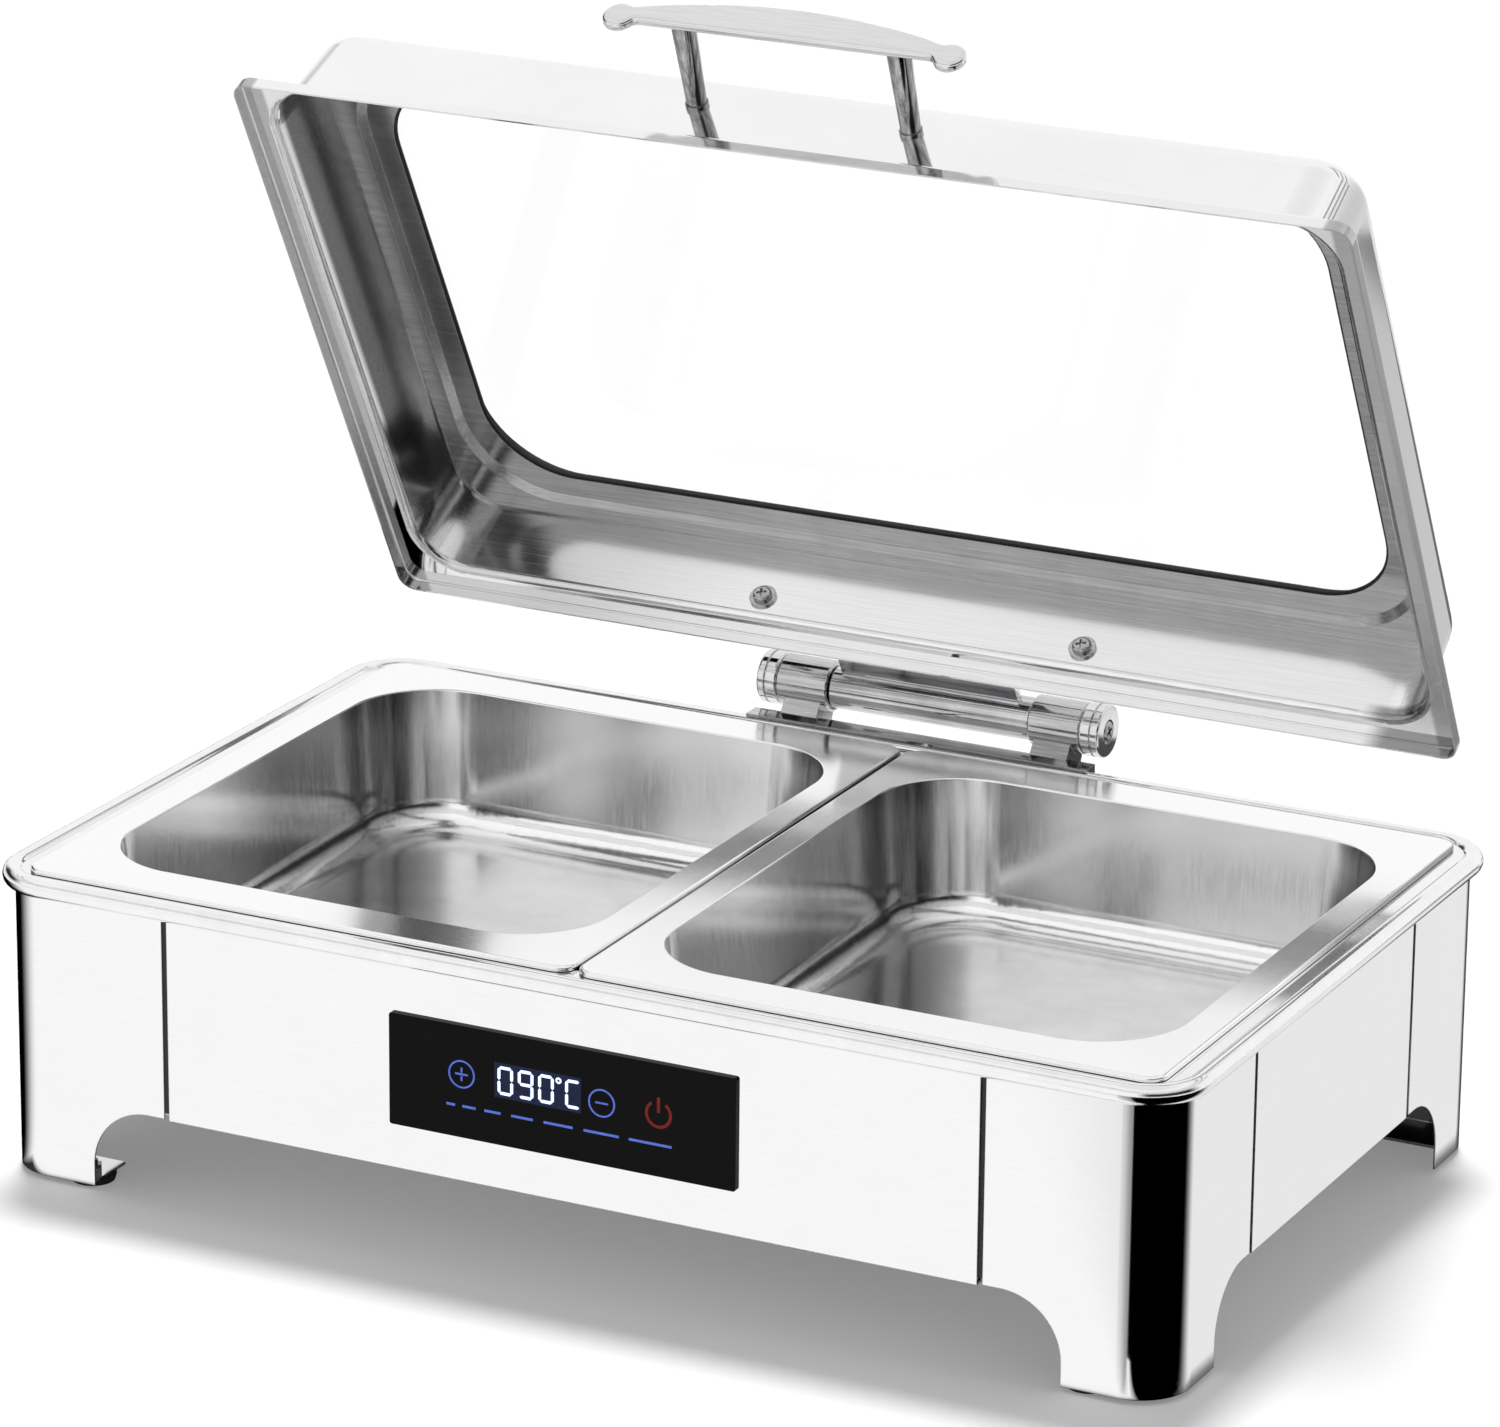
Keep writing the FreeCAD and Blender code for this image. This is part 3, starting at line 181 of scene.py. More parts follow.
def pan_metal():
    """Drawn satin steel: painted shade darkens the end walls of the pan, stretched sideways, towards the
    rear; the flat bottom is darker, with stains.
    """
    made, tree, shader = material("pan_steel", metallic=1.0)
    streaks = noise(tree, coords(tree, (1100, 1100, 30)), 1.0, 4.0, 0.6)
    stains = noise(tree, coords(tree), 22.0, 4.0, 0.6)
    place = add(tree, "ShaderNodeTexCoord")
    axes = add(tree, "ShaderNodeSeparateXYZ")
    tree.links.new(place.outputs["Normal"], axes.inputs[0])
    # painted shade on the end walls, kept towards the rear
    shaded_ends = ranged(tree, maths(tree, "ABSOLUTE", axes.outputs[0]), 0.20, 0.80, 0, 1, True)
    base = ranged(tree, axes.outputs[2], 0.90, 0.99, 0, 1, True)
    spot = add(tree, "ShaderNodeSeparateXYZ")
    tree.links.new(place.outputs["Object"], spot.inputs[0])
    base = maths(tree, "MULTIPLY", base, ranged(tree, spot.outputs[2], 0.085, 0.10, 1, 0, True))
    shaded_ends = maths(tree, "MULTIPLY", shaded_ends, ranged(tree, spot.outputs[1], -0.06, 0.02, 0, 1, True))
    tone = blend_color(tree, ranged(tree, streaks, 0.3, 0.7, 0, 1), (0.93, 0.93, 0.935), (0.98, 0.98, 0.98))
    darker_steel = blend_color(tree, ranged(tree, stains, 0.3, 0.7, 0, 1), (0.66, 0.66, 0.665), (0.82, 0.82, 0.82))
    painted_shade_steel = blend_color(tree, ranged(tree, streaks, 0.3, 0.7, 0, 1), (0.28, 0.28, 0.285), (0.38, 0.38, 0.38))
    color = blend_color(tree, base, tone, darker_steel)
    tree.links.new(blend_color(tree, shaded_ends, color, painted_shade_steel), shader.inputs["Base Color"])
    rough = maths(tree, "ADD", ranged(tree, streaks, 0.3, 0.7, 0.12, 0.18),
                  maths(tree, "MULTIPLY", maths(tree, "SUBTRACT", stains, 0.5), 0.08), clamp=True)
    tree.links.new(rough, shader.inputs["Roughness"])
    tree.links.new(bump(tree, streaks, 0.000003, normal=soft_edges(tree, 0.0003)), shader.inputs["Normal"])
    return made


def lid_metal():
    """Outside polished, inside satin: the inside is where the surface faces the lid's middle.

    Painted shade darkens the inner left wall, the right ledge, the side flanges and the right end.
    """
    made, tree, shader = material("lid_steel", metallic=1.0)
    place = add(tree, "ShaderNodeTexCoord")
    away = add(tree, "ShaderNodeVectorMath", operation="SUBTRACT")
    middle = (PANE_LOW + PANE_HIGH) / 2 + Vector((0, -math.sin(LID_OPEN), -math.cos(LID_OPEN))) * 0.024
    away.inputs[0].default_value = middle
    tree.links.new(place.outputs["Object"], away.inputs[1])
    facing = add(tree, "ShaderNodeVectorMath", operation="DOT_PRODUCT")
    tree.links.new(place.outputs["Normal"], facing.inputs[0])
    tree.links.new(away.outputs[0], facing.inputs[1])
    inside = ranged(tree, facing.outputs["Value"], -0.002, 0.002, 0.0, 1.0)
    streaks = noise(tree, coords(tree, (25, 900, 900)), 1.0, 4.0, 0.6)
    stains = noise(tree, coords(tree), 16.0, 3.0, 0.5)
    satin = ranged(tree, streaks, 0.3, 0.7, 0.13, 0.21)
    satin = maths(tree, "ADD", satin, maths(tree, "MULTIPLY", maths(tree, "SUBTRACT", stains, 0.5), 0.08))
    polish = ranged(tree, stains, 0.35, 0.65, 0.05, 0.09)
    rough = add(tree, "ShaderNodeMix", data_type="FLOAT")
    link(tree, inside, rough.inputs["Factor"])
    link(tree, polish, rough.inputs[2])
    link(tree, satin, rough.inputs[3])
    tree.links.new(rough.outputs[0], shader.inputs["Roughness"])
    tone = blend_color(tree, ranged(tree, stains, 0.3, 0.7, 0, 1), (0.88, 0.88, 0.885), (0.92, 0.92, 0.92))
    satin = blend_color(tree, ranged(tree, streaks, 0.3, 0.7, 0, 1), (0.84, 0.84, 0.845), (0.93, 0.93, 0.93))
    painted_shade_steel = blend_color(tree, ranged(tree, streaks, 0.3, 0.7, 0, 1), (0.13, 0.13, 0.132), (0.21, 0.21, 0.21))
    across = add(tree, "ShaderNodeSeparateXYZ")
    tree.links.new(place.outputs["Object"], across.inputs[0])
    # depth from the pane towards the flange, in metres
    sunk = add(tree, "ShaderNodeVectorMath", operation="DOT_PRODUCT")
    tree.links.new(away.outputs[0], sunk.inputs[0])
    sunk.inputs[1].default_value = (0, -math.sin(LID_OPEN), -math.cos(LID_OPEN))
    depth = maths(tree, "ADD", sunk.outputs["Value"], 0.024)
    # painted shade on the inner left wall: a band between the ledge and the flange, weaker near the flange
    # and low down
    band = maths(tree, "MULTIPLY", ranged(tree, depth, 0.005, 0.009, 0, 1, True),
                 ranged(tree, depth, 0.022, 0.036, 1, 0.22, True))
    band = maths(tree, "MULTIPLY", band, ranged(tree, across.outputs[2], 0.20, 0.27, 0.1, 1, True))
    darker_steel = maths(tree, "MULTIPLY", maths(tree, "MULTIPLY", inside, band),
                 ranged(tree, across.outputs[0], -0.250, -0.150, 1.0, 0.0, True))
    # painted shade on the right of the stamped ledge round the window
    ledge = maths(tree, "MULTIPLY", ranged(tree, depth, 0.006, 0.010, 0.8, 0, True),
                  ranged(tree, across.outputs[0], 0.215, 0.228, 0.0, 1.0, True))
    darker_steel = maths(tree, "MAXIMUM", darker_steel, maths(tree, "MULTIPLY", inside, ledge))
    # a faint patch of painted shade fades out along the hinge side
    fade = maths(tree, "MULTIPLY", ranged(tree, across.outputs[0], -0.20, -0.07, 0.32, 0.0, True),
                 ranged(tree, across.outputs[2], 0.24, 0.29, 1, 0, True))
    darker_steel = maths(tree, "MAXIMUM", darker_steel, maths(tree, "MULTIPLY", inside, fade))
    # painted shade on the outer strips of the side flanges
    side = maths(tree, "ABSOLUTE", across.outputs[0])
    flange = maths(tree, "MULTIPLY", maths(tree, "SUBTRACT", 1.0, inside),
                   ranged(tree, side, LID_HIGH.x - 0.0125, LID_HIGH.x - 0.0100, 0.0, 0.55, True))
    darker_steel = maths(tree, "MAXIMUM", darker_steel, flange)
    # painted shade on the outside where it faces right
    facings = add(tree, "ShaderNodeSeparateXYZ")
    tree.links.new(place.outputs["Normal"], facings.inputs[0])
    end = maths(tree, "MULTIPLY", maths(tree, "SUBTRACT", 1.0, inside),
                ranged(tree, facings.outputs[0], 0.6, 0.9, 0, 0.45, True))
    darker_steel = maths(tree, "MAXIMUM", darker_steel, end)
    color = blend_color(tree, inside, tone, satin)
    rounded = soft_edges(tree, 0.0004)
    # painted shade: darker steel where the masks above say, near-black along sharp edges
    color = paint_edge_shade(tree, blend_color(tree, darker_steel, color, painted_shade_steel), rounded, 0.6)
    tree.links.new(color, shader.inputs["Base Color"])
    tree.links.new(rounded, shader.inputs["Normal"])
    return made


def coated(name, dark, light, rough, grain=900.0, depth=0.00002, specular=0.5):
    """Plastic, rubber or paint with a moulded texture and scuffed patches."""
    made, tree, shader = material(name, specular=specular)
    patches = noise(tree, coords(tree), 35.0, 3.0, 0.5)
    skin = noise(tree, coords(tree), grain, 2.0, 0.5)
    tree.links.new(blend_color(tree, ranged(tree, patches, 0.3, 0.7, 0, 1), dark, light),
                   shader.inputs["Base Color"])
    tree.links.new(ranged(tree, patches, 0.3, 0.7, rough[0], rough[1]), shader.inputs["Roughness"])
    tree.links.new(bump(tree, skin, depth), shader.inputs["Normal"])
    return made


def window_glass():
    """Clear pane: nearly all light goes straight through, a little is mirrored."""
    made, tree, shader = material("window_glass", metallic=1.0)
    shader.inputs["Base Color"].default_value = (0.95, 0.97, 0.97, 1.0)
    shader.inputs["Alpha"].default_value = 0.035
    wipe = noise(tree, coords(tree, (30, 12, 12)), 1.0, 4.0, 0.6)
    tree.links.new(ranged(tree, wipe, 0.35, 0.75, 0.015, 0.06), shader.inputs["Roughness"])
    return made


def panel_glass():
    made, tree, shader = material("panel_glass", specular=0.06)
    wipe = noise(tree, coords(tree, (40, 40, 90)), 1.0, 4.0, 0.65)
    tree.links.new(blend_color(tree, wipe, (0.0035, 0.0032, 0.0036), (0.0060, 0.0054, 0.0060)),
                   shader.inputs["Base Color"])
    tree.links.new(ranged(tree, wipe, 0.3, 0.7, 0.10, 0.20), shader.inputs["Roughness"])
    return made


def glow(name, color, strength, spread=0.25):
    """Lit print behind the panel glass, a little uneven."""
    made, tree, shader = material(name, specular=0.1)
    cells = noise(tree, coords(tree), 700.0, 2.0, 0.5)
    low = tuple(c * (1 - spread) for c in color)
    tone = blend_color(tree, ranged(tree, cells, 0.3, 0.7, 0, 1), low, color)
    tree.links.new(tone, shader.inputs["Base Color"])
    tree.links.new(tone, shader.inputs["Emission Color"])
    shader.inputs["Emission Strength"].default_value = strength
    tree.links.new(ranged(tree, cells, 0.3, 0.7, 0.35, 0.5), shader.inputs["Roughness"])
    return made


def circuit_board():
    made, tree, shader = material("circuit_board")
    tracks = add(tree, "ShaderNodeTexBrick")
    tree.links.new(coords(tree, (900, 900, 900), (math.radians(90), 0, 0)), tracks.inputs["Vector"])
    tracks.inputs["Color1"].default_value = (0.02, 0.13, 0.05, 1)
    tracks.inputs["Color2"].default_value = (0.03, 0.17, 0.07, 1)
    tracks.inputs["Mortar"].default_value = (0.05, 0.24, 0.10, 1)
    tree.links.new(tracks.outputs["Color"], shader.inputs["Base Color"])
    tree.links.new(ranged(tree, tracks.outputs["Fac"], 0, 1, 0.35, 0.6), shader.inputs["Roughness"])
    return made


STEEL_WHITE = (0.92, 0.92, 0.925)
MATERIALS = {
    "polished_steel": metal("polished_steel", (0.89, 0.89, 0.895), STEEL_WHITE, (0.04, 0.08),
                            (60, 60, 900), 0.0, 0.02, 0.0006, 0.9),
    "rim_steel": metal("rim_steel", (0.86, 0.86, 0.865), STEEL_WHITE, (0.07, 0.12),
                       (90, 90, 90), 0.0, 0.04, 0.0004, 0.7),
    "lid_steel": lid_metal(),
    "frame_steel": metal("frame_steel", (0.30, 0.30, 0.305), (0.44, 0.44, 0.44), (0.12, 0.20),
                         (25, 900, 900), 0.0, 0.06, 0.0004, 0.5),
    "pan_steel": pan_metal(),
    "chrome": metal("chrome", (0.66, 0.66, 0.67), (0.84, 0.84, 0.845), (0.03, 0.07),
                    (40, 1200, 1200), 0.000002, 0.03, 0.0004, 0.9),
    "tube_chrome": metal("tube_chrome", (0.30, 0.30, 0.31), (0.88, 0.88, 0.885), (0.05, 0.12),
                         (9, 520, 520), 0.000004, 0.03, 0.0004, 0.9),
    "foot_chrome": metal("foot_chrome", (0.42, 0.42, 0.425), (0.68, 0.68, 0.685), (0.06, 0.12),
                         (40, 900, 900), 0.000003, 0.03, 0.0004, 0.9),
    "post_chrome": metal("post_chrome", (0.14, 0.14, 0.145), (0.52, 0.52, 0.53), (0.05, 0.10),
                         (420, 420, 30), 0.000003, 0.03, 0.0004, 0.9),
    "grip_steel": metal("grip_steel", (0.70, 0.70, 0.705), (0.78, 0.78, 0.785), (0.10, 0.16),
                        (50, 900, 900), 0.0, 0.03, 0.0004, 0.6),
    "zinc": metal("zinc", (0.42, 0.43, 0.45), (0.60, 0.61, 0.62), (0.30, 0.45),
                  (60, 60, 60), 0.00002, 0.12),
    "screw": metal("screw", (0.34, 0.34, 0.35), (0.62, 0.62, 0.63), (0.12, 0.22),
                   (900, 900, 900), 0.000006, 0.06, 0.0004, 0.95),
    "heater": metal("heater", (0.48, 0.49, 0.50), (0.62, 0.63, 0.64), (0.45, 0.60),
                    (300, 300, 300), 0.00004, 0.1),
    "brass": metal("brass", (0.55, 0.40, 0.16), (0.72, 0.56, 0.26), (0.22, 0.32),
                   (500, 500, 500), 0.00001, 0.06),
    "rubber": coated("rubber", (0.010, 0.010, 0.011), (0.022, 0.022, 0.023), (0.62, 0.78)),
    "black_paint": coated("black_paint", (0.006, 0.006, 0.006), (0.014, 0.014, 0.014), (0.42, 0.55), 1400),
    "black_plastic": coated("black_plastic", (0.012, 0.012, 0.013), (0.024, 0.024, 0.026), (0.40, 0.52)),
    "white_plastic": coated("white_plastic", (0.58, 0.57, 0.53), (0.68, 0.67, 0.63), (0.38, 0.50)),
    "wire_jacket": coated("wire_jacket", (0.30, 0.13, 0.03), (0.42, 0.20, 0.05), (0.40, 0.5), 500),
    "window_glass": window_glass(),
    "panel_glass": panel_glass(),
    "circuit_board": circuit_board(),
}

DRESS = {
    "polished_steel": ["leg_front_left", "leg_front_right", "leg_rear_left", "leg_rear_right",
                       "front_panel", "rear_panel", "side_panel_left", "side_panel_right"],
    "rim_steel": ["rim"],
    "lid_steel": ["lid_shell"],
    "frame_steel": ["window_frame"],
    "pan_steel": ["food_pan_left", "food_pan_right", "water_pan"],
    "chrome": ["hinge_cap_left", "hinge_cap_right", "lid_hinge_bracket"],
    "tube_chrome": ["damper_tube"],
    "foot_chrome": ["hinge_base_bracket"],
    "post_chrome": ["handle_post_left", "handle_post_right"],
    "grip_steel": ["handle_grip"],
    "zinc": ["bottom_cover", "heater_clamps", "hinge_inner_plate", "hinge_spacers", "hinge_bolts",
             "frame_clips", "board_standoffs", "temperature_sensor"],
    "screw": ["cover_screws", "foot_screws", "inlet_screws", "handle_screws", "lid_screws",
              "lid_washers", "hinge_adjuster_left", "hinge_adjuster_right", "hinge_shaft",
              "disc_springs"],
    "heater": ["heater_plate_left", "heater_plate_right"],
    "rubber": ["rubber_feet", "window_gasket"],
    "black_paint": ["chassis_frame"],
    "black_plastic": ["display_module", "control_box", "mains_inlet", "thermal_cutout",
                      "tube_bushings"],
    "white_plastic": ["terminal_block"],
    "wire_jacket": ["wiring_loom"],
    "window_glass": ["window_pane"],
    "panel_glass": ["control_glass"],
    "circuit_board": ["touch_board", "power_board"],
    "brass": ["touch_springs", "inlet_pins"],
}


def dress_frame():
    for finish, names in DRESS.items():
        for name in names:
            mesh = NODES[name].data
            mesh.materials.clear()
            mesh.materials.append(MATERIALS[finish])


# ------------------------------------------------------------------ print on the control panel

PRINT_T = 0.00015
PRINT_Y = GLASS_LOW.y


def piece(name, loops, mat, body, depth=PRINT_T):
    """Flat shapes given as closed (x, z) loops, raised off the glass by depth."""
    mesh = bpy.data.meshes.new(name)
    shape = bmesh.new()
    for loop in loops:
        front = [shape.verts.new((x, PRINT_Y - depth, z)) for x, z in loop]
        back = [shape.verts.new((x, PRINT_Y, z)) for x, z in loop]
        count = len(loop)
        shape.faces.new(front)
        shape.faces.new(back[::-1])
        for i in range(count):
            j = (i + 1) % count
            shape.faces.new((front[j], front[i], back[i], back[j]))
    bmesh.ops.recalc_face_normals(shape, faces=shape.faces)
    shape.to_mesh(mesh)
    shape.free()
    made = bpy.data.objects.new(name, mesh)
    bpy.context.scene.collection.objects.link(made)
    mesh.materials.append(mat)
    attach(made, body)
    return made


def arc_band(cx, cz, r, width, start, stop, steps):
    """Quads along an arc, angles in degrees from +X towards +Z."""
    loops = []
    for i in range(steps):
        a = math.radians(start + (stop - start) * i / steps)
        b = math.radians(start + (stop - start) * (i + 1) / steps)
        inner, outer = r - width / 2, r + width / 2
        loops.append([(cx + inner * math.cos(a), cz + inner * math.sin(a)),
                      (cx + outer * math.cos(a), cz + outer * math.sin(a)),
                      (cx + outer * math.cos(b), cz + outer * math.sin(b)),
                      (cx + inner * math.cos(b), cz + inner * math.sin(b))])
    return loops


def bar(cx, cz, half_x, half_z):
    return [(cx - half_x, cz - half_z), (cx + half_x, cz - half_z),
            (cx + half_x, cz + half_z), (cx - half_x, cz + half_z)]


def segment(x0, z0, x1, z1, width):
    """Pointed bar of a segment digit from one end to the other."""
    along = Vector((x1 - x0, z1 - z0)).normalized()
    side = Vector((-along.y, along.x)) * width / 2
    tip = along * width / 2
    a, b = Vector((x0, z0)), Vector((x1, z1))
    points = [a, a + tip + side, b - tip + side, b, b - tip - side, a + tip - side]
    return [tuple(p) for p in points]


SEGMENTS = {"0": "abcdef", "9": "abcdfg", "C": "adef"}


def digit(symbol, x, z, w, h, width):
    """Seven-segment character with its lower left corner at (x, z)."""
    gap = width * 0.12
    top, mid, low = z + h, z + h / 2, z
    left, right = x, x + w
    places = {"a": (left + gap, top, right - gap, top), "b": (right, top - gap, right, mid + gap),
              "c": (right, mid - gap, right, low + gap), "d": (left + gap, low, right - gap, low),
              "e": (left, mid - gap, left, low + gap), "f": (left, top - gap, left, mid + gap),
              "g": (left + gap, mid, right - gap, mid)}
    return [segment(*places[key], width) for key in SEGMENTS[symbol]]


def control_print():
    mm = 0.001
    blue = glow("print_blue", (0.075, 0.13, 0.50), 0.8)
    digits_white = glow("digits_white", (0.62, 0.72, 1.0), 1.3, 0.1)
    red = glow("print_red", (0.15, 0.012, 0.010), 0.6)
    shade = glow("display_shade", (0.008, 0.012, 0.035), 1.0, 0.4)
    piece("display_shade", [bar(-10.8 * mm, 88.3 * mm, 20.4 * mm, 7.8 * mm)], shade,
          "base", 0.00005)
    loops = []
    for symbol, x in (("0", -29.0), ("9", -19.4), ("0", -9.8), ("C", 2.9)):
        loops += digit(symbol, x * mm, 82.6 * mm, 6.0 * mm, 11.4 * mm, 1.35 * mm)
    loops += arc_band(-0.9 * mm, 93.2 * mm, 1.0 * mm, 0.8 * mm, 0, 360, 16)
    piece("display_digits", loops, digits_white, "base")
    plus = arc_band(-46.8 * mm, 87.6 * mm, 5.9 * mm, 0.75 * mm, 0, 360, 48)
    plus += [bar(-46.8 * mm, 87.6 * mm, 3.0 * mm, 0.4 * mm), bar(-46.8 * mm, 89.5 * mm, 0.4 * mm, 1.1 * mm),
             bar(-46.8 * mm, 85.7 * mm, 0.4 * mm, 1.1 * mm)]
    piece("key_plus", plus, blue, "base")
    minus = arc_band(19.3 * mm, 86.9 * mm, 5.9 * mm, 0.75 * mm, 0, 360, 48)
    minus.append(bar(19.3 * mm, 86.9 * mm, 3.0 * mm, 0.4 * mm))
    piece("key_minus", minus, blue, "base")
    power = arc_band(45.8 * mm, 86.9 * mm, 5.6 * mm, 1.3 * mm, 125, 415, 36)
    power.append(bar(45.8 * mm, 91.0 * mm, 0.7 * mm, 3.4 * mm))
    piece("key_power", power, red, "base")
    marks = []
    for x, long in ((-52, 4.1), (-43.3, 6.3), (-32.1, 7.7), (-18.1, 10.2), (-1.1, 13.6), (19.1, 16.5),
                    (42, 19.9)):
        marks.append(bar(x * mm, 73.4 * mm, long * mm / 2, 0.55 * mm))
    piece("level_marks", marks, blue, "base")


# ------------------------------------------------------------------ stage

def stage_mesh(name, verts, faces, values):
    """Card whose brightness is given for each vertex; only mirrored rays see it."""
    mesh = bpy.data.meshes.new(name)
    mesh.from_pydata(verts, [], faces)
    layer = mesh.color_attributes.new("tone", "FLOAT_COLOR", "POINT")
    for i, value in enumerate(values):
        layer.data[i].color = (value, value, value, 1.0)
    made = bpy.data.objects.new(name, mesh)
    bpy.context.scene.collection.objects.link(made)
    mat = bpy.data.materials.new(name)
    mat.use_nodes = True
    tree = mat.node_tree
    tree.nodes.clear()
    output = add(tree, "ShaderNodeOutputMaterial")
    shader = add(tree, "ShaderNodeEmission")
    tone = add(tree, "ShaderNodeVertexColor", layer_name="tone")
    tree.links.new(tone.outputs["Color"], shader.inputs["Color"])
    tree.links.new(shader.outputs[0], output.inputs[0])
    mesh.materials.append(mat)
    made.visible_camera = False
    made.visible_diffuse = False
    made.visible_shadow = False
    made.visible_transmission = False
    made.visible_volume_scatter = False
    return made


def grid(name, x0, x1, y0, y1, nx, ny, place, tone):
    """Rectangular card; place turns (u, v) into a point and tone gives its brightness."""
    verts, values, faces = [], [], []
    for j in range(ny + 1):
        for i in range(nx + 1):
            u = x0 + (x1 - x0) * i / nx
            v = y0 + (y1 - y0) * j / ny
            verts.append(place(u, v))
            values.append(tone(u, v))
    for j in range(ny):
        for i in range(nx):
            a = j * (nx + 1) + i
            faces.append((a, a + 1, a + nx + 2, a + nx + 1))
    return stage_mesh(name, verts, faces, values)


def smooth(value, low, high):
    t = min(1.0, max(0.0, (value - low) / (high - low)))
    return t * t * (3 - 2 * t)


def bearing(dx, dy):
    """Degrees from -Y (the front) towards +X."""
    return math.degrees(math.atan2(dx, -dy))


FLOOR_WHITE = 1.02


def floor_tone(x, y):
    """White all round, dark in wedges from the rounded corners and in two strips far behind."""
    tone = FLOOR_WHITE
    out = max(abs(x) - BODY_X, BODY_FRONT - y, y - BODY_REAR)
    tone *= 0.03 + 0.97 * smooth(out, 0.002, 0.008)
    if x > BODY_X:
        tone *= 0.85
    # near corner, front right
    ax, ay = BODY_X - CORNER_R + 0.0054, BODY_FRONT
    if x > ax:
        angle = bearing(x - (ax + 0.006), y - (ay + 0.008))
        if -5 <= angle <= 180:
            tone = min(tone, FLOOR_WHITE * smooth(angle, 116, 152))
    elif y < ay:
        angle = bearing(x - ax, y - ay)
        tone = min(tone, FLOOR_WHITE * (0.30 + 0.70 * smooth(-angle, 0, 34)))
    # front left corner
    bx, by = -(BODY_X - CORNER_R) - 0.010, BODY_FRONT + 0.010
    if x < bx:
        angle = bearing(x - bx, y - by)
        tone = min(tone, FLOOR_WHITE * smooth(angle, -100, -45)) if angle < 0 else tone
    # rear right corner
    cx, cy = BODY_X, BODY_REAR - CORNER_R
    if cx - 0.15 < x and y > cy + 0.001 and y < cy + 0.45:
        tone = min(tone, FLOOR_WHITE * (0.08 + 0.92 * smooth((x - cx) / (y - cy), 0.10, 0.34)))
    # far behind: dark where the lid's left wall looks, grey where its right side looks
    if y > 0.50:
        line = x - 0.494 * (y - 0.1)
        left = smooth(y, 0.70, 0.90) * smooth(0.20 - abs(line + 0.25), 0.0, 0.06)
        right = smooth(y, 0.50, 0.60) * smooth(0.12 - abs(line - 0.25), 0.0, 0.06)
        tone = min(tone, 1.0 - 0.80 * left, 1.0 - 0.66 * right)
    return tone


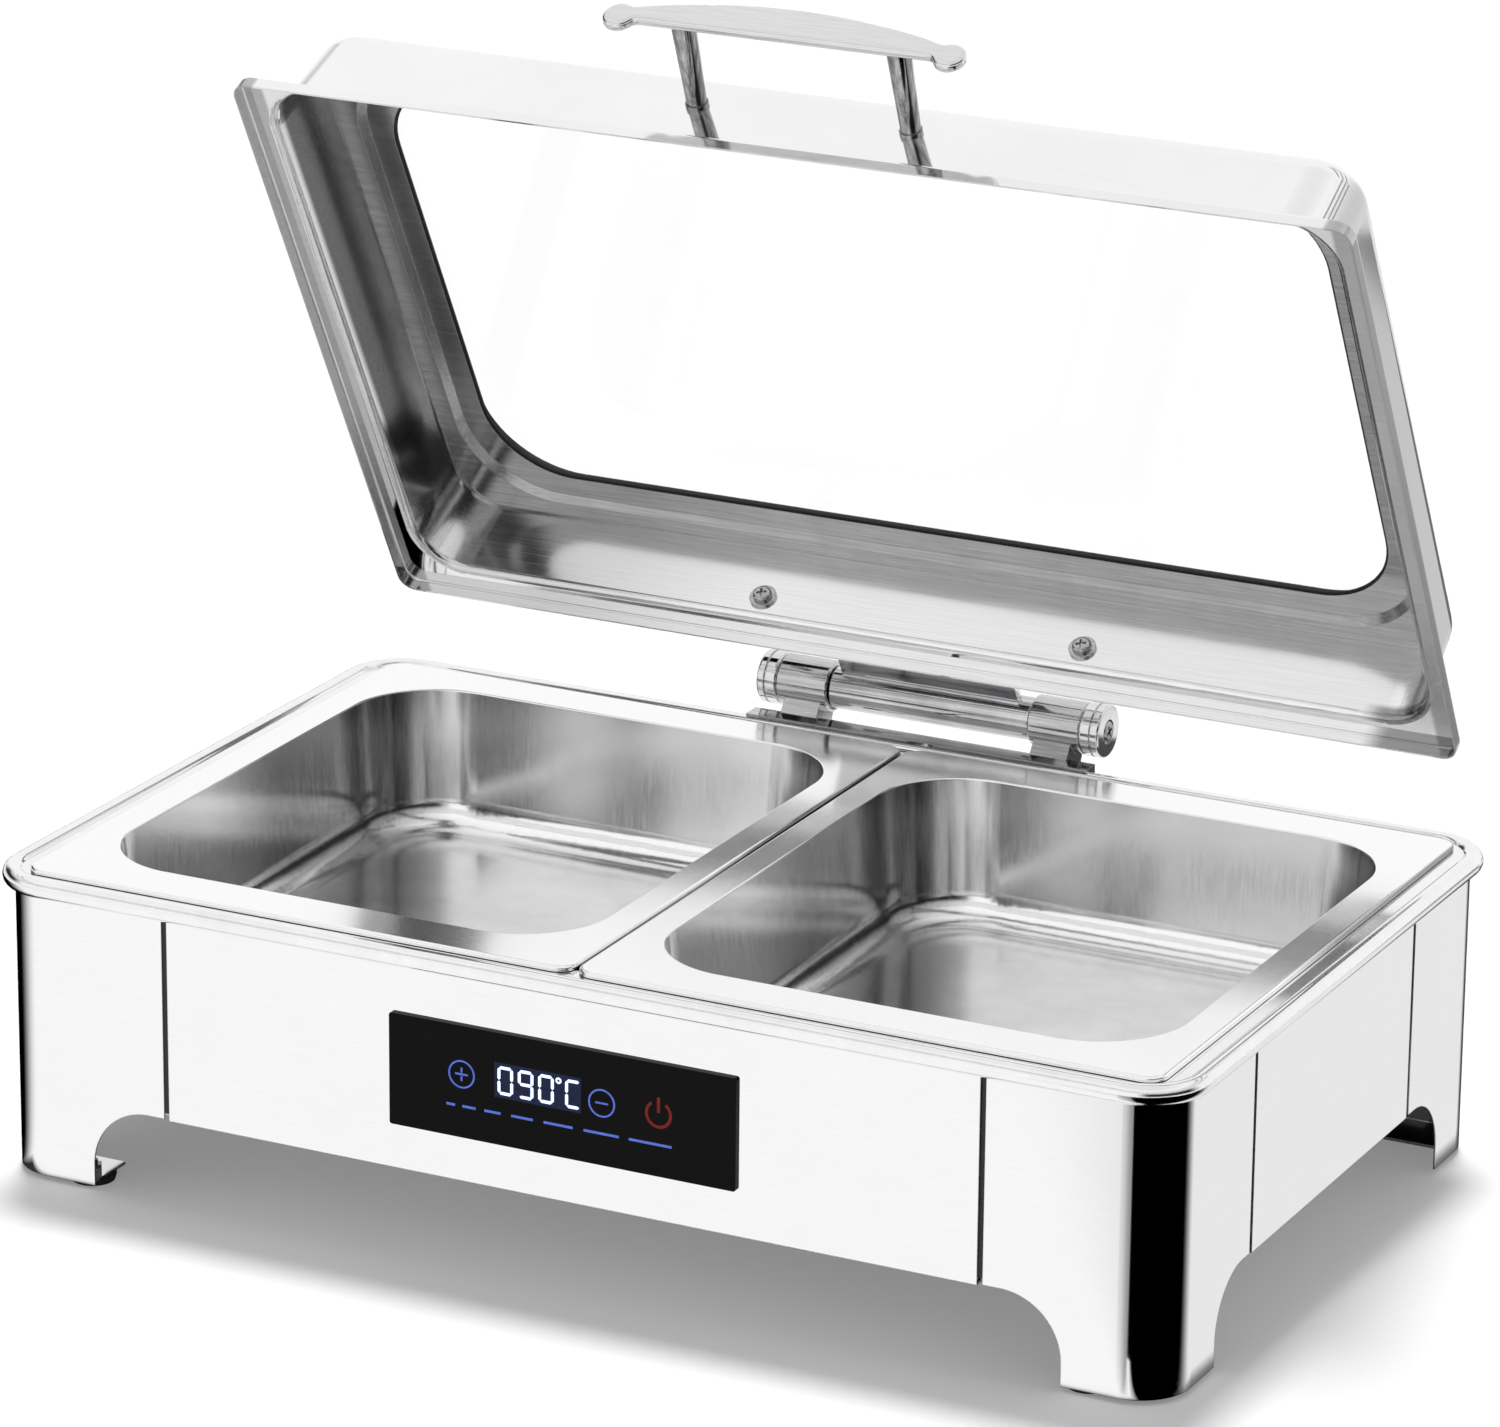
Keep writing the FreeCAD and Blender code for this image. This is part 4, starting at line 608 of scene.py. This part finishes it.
def build_stage():
    scene = bpy.context.scene
    size = 30.0
    bpy.ops.mesh.primitive_plane_add(size=size, location=(0, 0, 0))
    floor = bpy.context.object
    floor.name = "floor"
    made, tree, shader = material("floor", specular=0.0)
    speck = noise(tree, coords(tree), 3.0, 2.0, 0.5)
    tree.links.new(blend_color(tree, speck, (0.79, 0.79, 0.79), (0.81, 0.81, 0.81)),
                   shader.inputs["Base Color"])
    shader.inputs["Roughness"].default_value = 1.0
    shader.inputs["Emission Color"].default_value = (1, 1, 1, 1)
    shader.inputs["Emission Strength"].default_value = 0.21
    floor.data.materials.append(made)

    grid("floor_card", -1.0, 1.1, -1.0, 1.8, 420, 560, lambda x, y: (x, y, 0.0002), floor_tone)

    # a grey sheet level with the rim, mirrored only by the lid's underside
    grid("upper_card", -1.6, -0.30, -1.2, 1.2, 4, 4, lambda x, y: (x, y, 0.1415), lambda x, y: 0.80)

    sun = bpy.data.lights.new("key", "SUN")
    sun.energy = 2.45
    sun.angle = math.radians(12)
    lamp = bpy.data.objects.new("key", sun)
    lamp.rotation_euler = (math.radians(-15), math.radians(-7), 0)
    lamp.visible_glossy = False
    scene.collection.objects.link(lamp)

    world = bpy.data.worlds.new("studio")
    scene.world = world
    world.use_nodes = True
    tree = world.node_tree
    tree.nodes.clear()
    output = add(tree, "ShaderNodeOutputWorld")
    rays = add(tree, "ShaderNodeLightPath")
    place = add(tree, "ShaderNodeTexCoord")
    axes = add(tree, "ShaderNodeSeparateXYZ")
    tree.links.new(place.outputs["Generated"], axes.inputs[0])
    x, y, z = axes.outputs
    front = maths(tree, "MULTIPLY", y, -1.0)
    angle = maths(tree, "MULTIPLY", maths(tree, "ARCTAN2", x, front), 180 / math.pi)
    # low down it is dark to the right and to the left, higher up there are thin dark bars
    right = maths(tree, "MULTIPLY", ranged(tree, angle, 5, 30, 0, 1, True),
                  ranged(tree, angle, 95, 125, 1, 0, True))
    left = maths(tree, "MULTIPLY", ranged(tree, angle, -135, -118, 0, 1, True),
                 ranged(tree, angle, -85, -55, 1, 0, True))
    low = ranged(tree, z, 0.36, 0.56, 1, 0, True)
    dark = maths(tree, "MULTIPLY", maths(tree, "MAXIMUM", right, left), low)
    bars = maths(tree, "SINE", maths(tree, "MULTIPLY", z, 75.0))
    bars = maths(tree, "MULTIPLY", ranged(tree, bars, 0.2, 0.9, 0, 0.75, True),
                 maths(tree, "MULTIPLY", ranged(tree, z, 0.44, 0.50, 0, 1, True),
                       ranged(tree, z, 0.72, 0.78, 1, 0, True)))
    bars = maths(tree, "MULTIPLY", bars, ranged(tree, angle, -125, -105, 0, 1, True))
    dark = maths(tree, "MAXIMUM", dark, bars)
    mirrored = ranged(tree, dark, 0, 1, 1.25, 0.04)
    top = ranged(tree, z, 0.80, 0.98, 1.0, 0.85, True)
    mirrored = maths(tree, "MULTIPLY", mirrored, top)
    plain = add(tree, "ShaderNodeBackground")
    plain.inputs["Color"].default_value = (1, 1, 1, 1)
    mixed = add(tree, "ShaderNodeBackground")
    tree.links.new(mirrored, mixed.inputs["Strength"])
    choose = add(tree, "ShaderNodeMixShader")
    tree.links.new(rays.outputs["Is Glossy Ray"], choose.inputs[0])
    soft = ranged(tree, rays.outputs["Is Camera Ray"], 0, 1, 0.30, 1.05)
    tree.links.new(soft, plain.inputs["Strength"])
    tree.links.new(plain.outputs[0], choose.inputs[1])
    tree.links.new(mixed.outputs[0], choose.inputs[2])
    tree.links.new(choose.outputs[0], output.inputs[0])


def build_camera():
    """Long lens from the front right, looking down on the open server."""
    turn, tilt, roll = math.radians(26.613), math.radians(18.508), math.radians(0.54)
    right = Vector((math.cos(turn), math.sin(turn), 0))
    back = Vector((math.sin(turn) * math.cos(tilt), -math.cos(turn) * math.cos(tilt), math.sin(tilt)))
    up = back.cross(right)
    across = right * math.cos(roll) + up * math.sin(roll)
    upward = up * math.cos(roll) - right * math.sin(roll)
    aim = Vector((0.0, BODY_FRONT + 0.1685, 0.0))
    reach = 3.20057
    spot = aim + across * 0.002658 + upward * 0.193043 + back * reach
    camera = bpy.data.cameras.new("camera")
    camera.lens = 175.38
    camera.sensor_width = 36.0
    camera.sensor_fit = "HORIZONTAL"
    camera.clip_start = 0.1
    camera.clip_end = 60.0
    holder = bpy.data.objects.new("camera", camera)
    matrix = Matrix((across, upward, back)).transposed().to_4x4()
    matrix.translation = spot
    holder.matrix_world = matrix
    bpy.context.scene.collection.objects.link(holder)
    bpy.context.scene.camera = holder


dress_frame()
control_print()
build_stage()
build_camera()
bpy.context.scene.view_settings.view_transform = "Standard"
